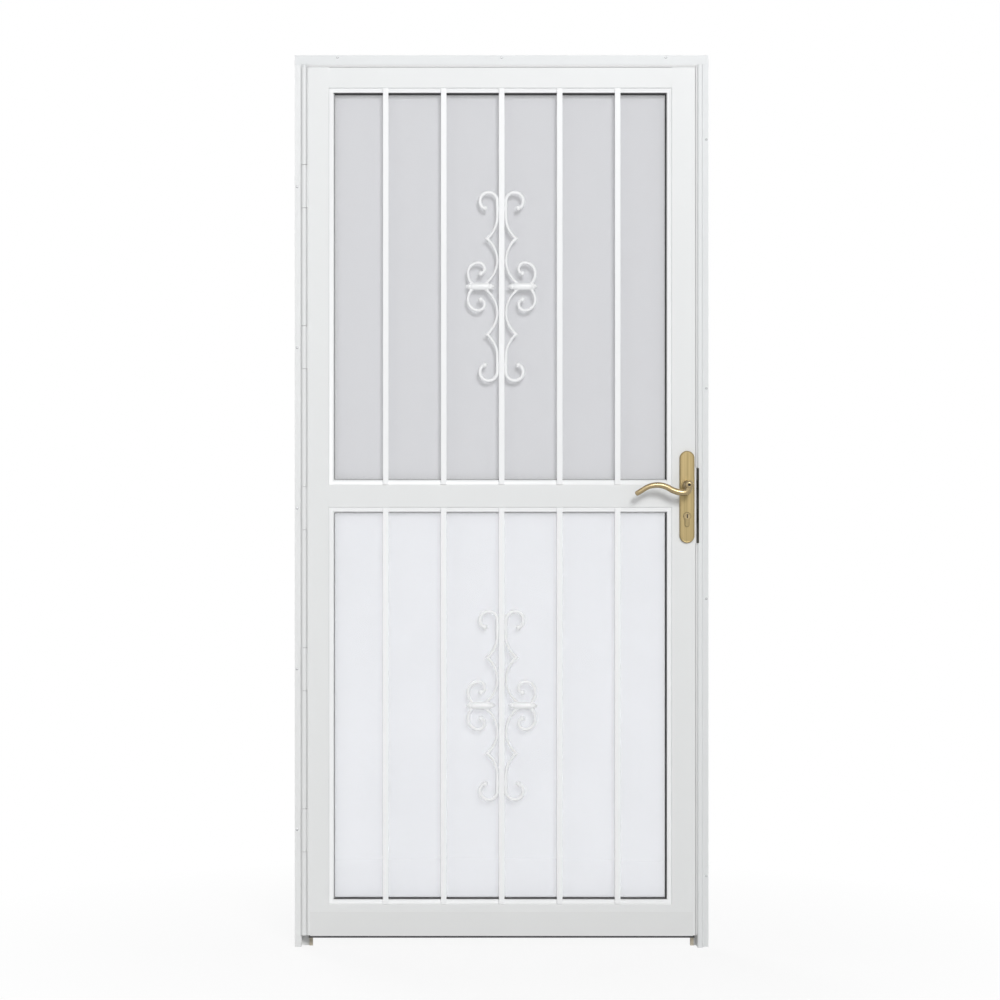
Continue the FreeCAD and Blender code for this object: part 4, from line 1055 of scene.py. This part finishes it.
# %% Seals in the gap, hinge strip and cap, dressed welds
EDGE_SEAL_CLEARANCE = 1.0
EDGE_SEAL_DEPTH = (-8.0, 8.0)
EDGE_SEAL_ROUNDING = 1.2
HEAD_SEAL_CLEARANCE = 1.4
HEAD_SEAL_DEPTH = (-6.0, 8.0)
HEAD_SEAL_ROUNDING = 1.4
HEAD_SEAL_OVERHANG = (3.0, 4.0)
SEAL_BITE = 0.2
STRIKE_MARGIN = 1.5
STRIP_REACH = (-1.3, 0.4)
STRIP_DEPTH = (-13.0, 6.0)
STRIP_ROUNDING = 0.4
CAP_RADIUS = 6.2
CAP_CLEARANCE = 0.2
DRESSED_OUT = 3.2
DRESSED_IN = 0.6
DRESSED_SKIN = 0.03
DRESSED_DEPTH = 3.0
DRESSED_MARGIN = 1.2
DRESSED_ROUNDING = 0.15

stile_low, stile_high = (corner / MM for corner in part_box("hinge_stile"))
strike_low, strike_high = (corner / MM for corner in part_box("strike_plate"))
leaf_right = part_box("latch_stile")[1].x / MM
jamb_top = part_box("latch_jamb")[1].z / MM

seal_form = bmesh.new()
seal_x = (leaf_right + EDGE_SEAL_CLEARANCE, strike_low.x + SEAL_BITE)
seal_foot = (stile_low.z, strike_low.z - STRIKE_MARGIN)
seal_top = (strike_high.z + STRIKE_MARGIN, jamb_top)
for seal_z in (seal_foot, seal_top):
    soft_bar(seal_form, seal_x, EDGE_SEAL_DEPTH, seal_z, EDGE_SEAL_ROUNDING)
head_x = (stile_low.x - HEAD_SEAL_OVERHANG[0], leaf_right + HEAD_SEAL_OVERHANG[1])
head_z = (stile_high.z + HEAD_SEAL_CLEARANCE, jamb_top + SEAL_BITE)
soft_bar(seal_form, head_x, HEAD_SEAL_DEPTH, head_z, HEAD_SEAL_ROUNDING)
make_piece("bulb_seals", seal_form, seal_vinyl, "frame", (), 40)

strip_form = bmesh.new()
strip_x = [stile_low.x + reach for reach in STRIP_REACH]
soft_bar(strip_form, strip_x, STRIP_DEPTH, (stile_low.z, stile_high.z), STRIP_ROUNDING)
make_piece("hinge_strip", strip_form, tube_paint, "leaf", (), 40)

cap_form = bmesh.new()
cap_foot = joint_place("leaf_swing")
cap_foot.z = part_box("jamb_hinge")[1].z
rise = jamb_top - cap_foot.z / MM - CAP_CLEARANCE
cap_profile = (
    (0.0, 0.0), (CAP_RADIUS - 0.3, 0.0), (CAP_RADIUS, 0.3), (CAP_RADIUS, rise - 0.6),
    (CAP_RADIUS - 0.4, rise), (0.0, rise),
)
spin_profile(cap_form, cap_profile, cap_foot, ALONG_Z, ALONG_X, 24)
make_piece("hinge_cap", cap_form, jamb_white_shaded_copy, "frame", (), 35)

dressed_form = bmesh.new()
tube_edges_x = (left_edge / MM - LIP_WIDTH, right_edge / MM + LIP_WIDTH)
dressed_depths = (
    (stile_low.y + DRESSED_SKIN, stile_low.y + DRESSED_DEPTH),
    (stile_high.y - DRESSED_DEPTH, stile_high.y - DRESSED_SKIN),
)
for name in ("top_rail", "lock_rail", "bottom_rail"):
    low, high = (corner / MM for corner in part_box(name))
    foot = low.z + (LIP_WIDTH if low.z > stile_low.z + 1 else 0)
    top = high.z - (LIP_WIDTH if high.z < stile_high.z - 1 else 0)
    for edge_x, inward in zip(tube_edges_x, (1, -1)):
        across = sorted((edge_x - DRESSED_OUT * inward, edge_x + DRESSED_IN * inward))
        for depth in dressed_depths:
            upright = (foot + DRESSED_MARGIN, top - DRESSED_MARGIN)
            soft_bar(dressed_form, across, depth, upright, DRESSED_ROUNDING)
make_piece("dressed_welds", dressed_form, tube_paint, "leaf", (), 40)

# %% [markdown]
# ## Bar ends
# Each bar is welded to the rails on both sides. A weld bead is a small drawn-out drop, so a sphere
# with few faces, stretched along the seam, is enough for each of the forty. A thin cap closes the end
# of each tube.

# %% Weld beads and end caps of the bars
BEAD_REACH = (1.5, 4.6, 1.7)
BEAD_FROM_END = 0.4
BEAD_BACK = 1.5
END_CAP_INSET = 0.4
END_CAP_PROUD = 0.02
END_CAP_DEPTH = 1.5
END_CAP_ROUNDING = 0.3

bead_form = bmesh.new()
end_cap_form = bmesh.new()
for name in names("_bar_"):
    low, high = (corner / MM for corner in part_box(name))
    for x in (low.x, high.x):
        for z in (low.z + BEAD_FROM_END, high.z - BEAD_FROM_END):
            drop(bead_form, x, (low.y + high.y) / 2 + BEAD_BACK, z, BEAD_REACH, 2)
    across = (low.x + END_CAP_INSET, high.x - END_CAP_INSET)
    depth = (low.y + END_CAP_INSET, high.y - END_CAP_INSET)
    foot = (low.z - END_CAP_PROUD, low.z + END_CAP_DEPTH)
    top = (high.z - END_CAP_DEPTH, high.z + END_CAP_PROUD)
    for upright in (foot, top):
        soft_bar(end_cap_form, across, depth, upright, END_CAP_ROUNDING)
make_piece("bar_weld_beads", bead_form, highlight_white, "leaf", (), 80)
make_piece("bar_end_caps", end_cap_form, highlight_white, "leaf", (), 40)

# %% [markdown]
# ## Screws
# The frame is fixed with round-headed screws through its flanges; the record of the door states where
# the holes are. Others hold the lock, the clips and the sweep. One profile, turned with a full spin,
# makes each head with the sunk drive in its middle.

# %% Screws
HEAD_PROFILE = (
    (0.0, 0.35), (0.26, 0.35), (0.30, 0.62), (0.55, 0.56), (0.8, 0.38), (0.96, 0.14), (1.0, 0.0),
    (0.0, 0.0),
)
HEAD_RISE = 0.62
# Radius and height of each kind of head, in millimetres.
FRAME_SCREW = (3.1, 1.1)
FACEPLATE_SCREW = (3.2, 0.5)
PLATE_SCREW = (3.4, 1.0)
BACK_SCREW = (3.6, 1.6)
FACEPLATE_SCREW_INSET = 9 * MM
PLATE_SCREW_INSET = 20 * MM
PLATE_SCREW_SINK = 0.2 * MM


def screw(form, place, outward, radius, height):
    """A domed head with a sunk drive; place is on the surface it sits on."""
    across = outward.orthogonal().normalized()
    profile = [(part * radius, rise / HEAD_RISE * height) for part, rise in HEAD_PROFILE]
    spin_profile(form, profile, place, outward, across, 14)


def pattern_places(mount):
    """The holes of a two-hole pattern."""
    dims = mount["dims"]
    half = Vector((dims.get("spacing_x_mm", 0), 0, dims.get("spacing_y_mm", 0))) * MM / 2
    middle = Vector(mount["pos_m"])
    return [middle - half, middle + half]


mounts = {mount["name"]: mount for mount in frame["record"]["mounts"]}
# The hinge jamb and the head have one more hole in the middle of a pattern.
frame_places = [Vector(mounts[name]["pos_m"]) for name in ("hinge_screws_inner", "head_screws")]
for mount in mounts.values():
    if mount["kind"] == "bolt_pattern":
        frame_places += pattern_places(mount)
flange_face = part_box("head_jamb")[0].y
screw_form = bmesh.new()
for place in frame_places:
    screw(screw_form, Vector((place.x, flange_face, place.z)), -ALONG_Y, *FRAME_SCREW)
make_piece("frame_screws", screw_form, bare_steel, "frame", (), 35)

lock_form = bmesh.new()
face_low, face_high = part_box("lock_faceplate")
plate_low, plate_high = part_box("inside_plate")
for z in (face_low.z + FACEPLATE_SCREW_INSET, face_high.z - FACEPLATE_SCREW_INSET):
    screw(lock_form, Vector((face_high.x, leaf_middle_y, z)), ALONG_X, *FACEPLATE_SCREW)
for z in (plate_low.z + PLATE_SCREW_INSET, plate_high.z - PLATE_SCREW_INSET):
    screw(lock_form, Vector((spindle.x, plate_high.y - PLATE_SCREW_SINK, z)), ALONG_Y, *PLATE_SCREW)
make_piece("lock_screws", lock_form, plate_brass, "leaf", (), 35)

# %% [markdown]
# ## Turn clips
# On the inside, small painted clips hold both inserts; each turns on its own screw. A circle whose
# two halves are drawn apart gives the plate with round ends, which is then extruded and softened. A row
# of like screws holds the sweep at the foot of the leaf.

# %% Clips and the screws of the back
CLIP_LENGTH = 30.0
CLIP_WIDTH = 16.0
CLIP_EDGE = 0.4
CLIP_SCREW_INSET = 9 * MM
BACK_SCREW_SINK = 0.1 * MM
SWEEP_SCREWS = 6
SWEEP_SCREW_HEIGHT = 38 * MM
clip_low, clip_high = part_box("insert_clips")
sweep_low, sweep_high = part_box("door_sweep")


def turn_clip(form, x, z):
    """A plate with round ends on the leaf's back; x and z are its middle in metres."""
    back = Vector((x, clip_low.y, z))
    place = Matrix.Translation(back) @ Matrix.Rotation(math.radians(-90), 4, "X")
    verts = bmesh.ops.create_circle(
        form, cap_ends=True, segments=24, radius=CLIP_WIDTH * MM / 2, matrix=place)["verts"]
    for side in (-1, 1):
        half = [vert for vert in verts if (vert.co.x - x) * side > 0.1 * MM]
        bmesh.ops.translate(form, verts=half, vec=(side * (CLIP_LENGTH - CLIP_WIDTH) / 2 * MM, 0, 0))
    grown = bmesh.ops.extrude_face_region(form, geom=[verts[0].link_faces[0]])["geom"]
    front = only(bmesh.types.BMFace, grown)
    thickness = clip_high.y - clip_low.y
    bmesh.ops.translate(form, verts=front[0].verts[:], vec=(0, thickness - CLIP_EDGE * MM, 0))
    bmesh.ops.inset_region(form, faces=front, thickness=CLIP_EDGE * MM, use_even_offset=True)
    bmesh.ops.translate(form, verts=front[0].verts[:], vec=(0, CLIP_EDGE * MM, 0))


clip_form = bmesh.new()
back_screw_form = bmesh.new()
clip_screw_y = clip_high.y - BACK_SCREW_SINK
for opening_low, opening_high in OPENINGS.values():
    low = opening_low - LIP_WIDTH * MM
    high = opening_high + LIP_WIDTH * MM
    for share in (1, 3, 5):
        z = low + (high - low) * share / 6
        for x, inward in ((clip_low.x, 1), (clip_high.x, -1)):
            turn_clip(clip_form, x + inward * CLIP_LENGTH * MM / 2, z)
            place = Vector((x + inward * CLIP_SCREW_INSET, clip_screw_y, z))
            screw(back_screw_form, place, ALONG_Y, *BACK_SCREW)
make_piece("turn_clips", clip_form, aluminium_coat, "leaf", ["insert_clips"], 30)
for step in range(SWEEP_SCREWS):
    x = sweep_low.x + (sweep_high.x - sweep_low.x) * (step + 0.5) / SWEEP_SCREWS
    place = Vector((x, sweep_high.y - BACK_SCREW_SINK, sweep_low.z + SWEEP_SCREW_HEIGHT))
    screw(back_screw_form, place, ALONG_Y, *BACK_SCREW)
make_piece("back_screws", back_screw_form, bare_steel, "leaf", (), 35)

# %% [markdown]
# ## Pile weatherstrips
# A strip of pile sits on each stop: a brush of short fibres, never quite even. A fine grid is extruded
# to the stop, and its front points are pushed back by small random amounts. The random numbers
# start from a fixed seed, so every run gives the same strip. On the latch side the strip stops above
# and below the lock.

# %% Pile
PILE_STEP = 4.0
PILE_RAGGED = 0.9
PILE_ROWS = 5
LOCK_MARGIN = 6 * MM
draw = random.Random(7)


def pile_strip(form, low, high):
    """A brush of pile that fills a box, ragged towards the leaf (-Y)."""
    size = high - low
    lengthwise = max(2, int(max(size.x, size.z) / MM / PILE_STEP))
    counts = (lengthwise, PILE_ROWS) if size.x > size.z else (PILE_ROWS, lengthwise)
    middle = (low + high) / 2
    front = Vector((middle.x, low.y, middle.z))
    place = Matrix.Translation(front) @ Matrix.Rotation(math.radians(90), 4, "X")
    place = place @ Matrix.Diagonal((size.x, size.z, 1, 1))
    grid = bmesh.ops.create_grid(
        form, x_segments=counts[0], y_segments=counts[1], size=0.5, matrix=place)["verts"]
    faces = list({face for vert in grid for face in vert.link_faces})
    grown = bmesh.ops.extrude_face_region(form, geom=faces)["geom"]
    bmesh.ops.translate(form, verts=only(bmesh.types.BMVert, grown), vec=(0, size.y, 0))
    for vert in grid:
        vert.co.y += draw.random() * PILE_RAGGED * MM


for name in names("weatherstrip"):
    pile_form = bmesh.new()
    low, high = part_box(name)
    if name == "latch_weatherstrip":
        pile_strip(pile_form, low, Vector((high.x, high.y, plate_low.z - LOCK_MARGIN)))
        pile_strip(pile_form, Vector((low.x, low.y, plate_high.z + LOCK_MARGIN)), high)
    else:
        pile_strip(pile_form, low, high)
    piece_name = name.replace("weatherstrip", "pile_strip")
    make_piece(piece_name, pile_form, pile, "frame", [name], 60)

# %% [markdown]
# ## Key plug
# The round plug that the key turns shows as a fine ring with a slot. A disc is cut across by planes,
# the face between the cuts is taken out, and the rest is extruded a little. A black block behind the
# slot is painted shade for its depth, and a black rim is painted shade for the narrow gap between the
# cylinder and its plate.

# %% Key plugs at both faces
PLUG_RADIUS = 6.4
PLUG_SINK = 0.05
PLUG_RISE = 0.5
SLOT_HALF = (1.1, 4.5)
WARD_DEPTH = (0.4, 4.0)
GAP_WIDTH = 0.6
GAP_RISE = 0.12
GAP_SINK = 1.0
CYLINDER_RADIUS = 8.5
CYLINDER_FOOT_RADIUS = 5.0
cylinder_low, cylinder_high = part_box("key_cylinder")
plug_y = cylinder_low.y + PLUG_SINK * MM
plug_centre = Vector((spindle.x, plug_y, cylinder_high.z - CYLINDER_RADIUS * MM))


def painted_slot_shade(form):
    """A black block at the bottom of the key's slot, painted shade for its depth."""
    x, y, z = plug_centre / MM
    half_x, half_z = SLOT_HALF
    depth = (y + WARD_DEPTH[0], y + WARD_DEPTH[1])
    soft_bar(form, (x - half_x, x + half_x), depth, (z - half_z, z + half_z), 0.3)
    return form


def painted_gap_shade(form):
    """A black rim round the cylinder, painted shade for the gap: a disc and a foot with a round end, just proud of
    the plate.
    """
    x, _, z = plug_centre / MM
    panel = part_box("outside_plate")[1].y / MM - PLATE_WALL + sum(step for _, step in PLATE_STEPS)
    foot = cylinder_low.z / MM + CYLINDER_FOOT_RADIUS
    front = panel - GAP_RISE
    back = panel + GAP_SINK
    half = CYLINDER_FOOT_RADIUS + GAP_WIDTH
    for height, radius in ((z, CYLINDER_RADIUS + GAP_WIDTH), (foot, half)):
        profile = ((0.0, front), (radius, front), (radius, back), (0.0, back))
        spin_profile(form, profile, Vector((x, 0, height)) * MM, ALONG_Y, ALONG_X, 36)
    soft_bar(form, (x - half, x + half), (front, back), (foot, z), 0.05)
    return form


def key_plug(form):
    """A disc with the key's slot through it, raised a little."""
    place = Matrix.Translation(plug_centre) @ Matrix.Rotation(math.radians(90), 4, "X")
    bmesh.ops.create_circle(form, cap_ends=True, segments=36, radius=PLUG_RADIUS * MM, matrix=place)
    for normal, reach in ((ALONG_X, SLOT_HALF[0]), (ALONG_Z, SLOT_HALF[1])):
        for side in (-1, 1):
            cut = plug_centre + normal * reach * MM * side
            everything = form.verts[:] + form.edges[:] + form.faces[:]
            bmesh.ops.bisect_plane(form, geom=everything, plane_co=cut, plane_no=normal)
    slot = [face for face in form.faces if (face.calc_center_median() - plug_centre).length < 0.1 * MM]
    bmesh.ops.delete(form, geom=slot, context="FACES_ONLY")
    grown = bmesh.ops.extrude_face_region(form, geom=form.faces[:])["geom"]
    fronts = only(bmesh.types.BMVert, grown)
    bmesh.ops.translate(form, verts=fronts, vec=(0, -PLUG_RISE * MM, 0))
    return form


at_both_faces("key_plug", key_plug, lever_brass, "leaf")
at_both_faces("painted_slot_shade", painted_slot_shade, dark_steel_and_painted_shade, "leaf")
at_both_faces("painted_gap_shade", painted_gap_shade, dark_steel_and_painted_shade, "leaf")
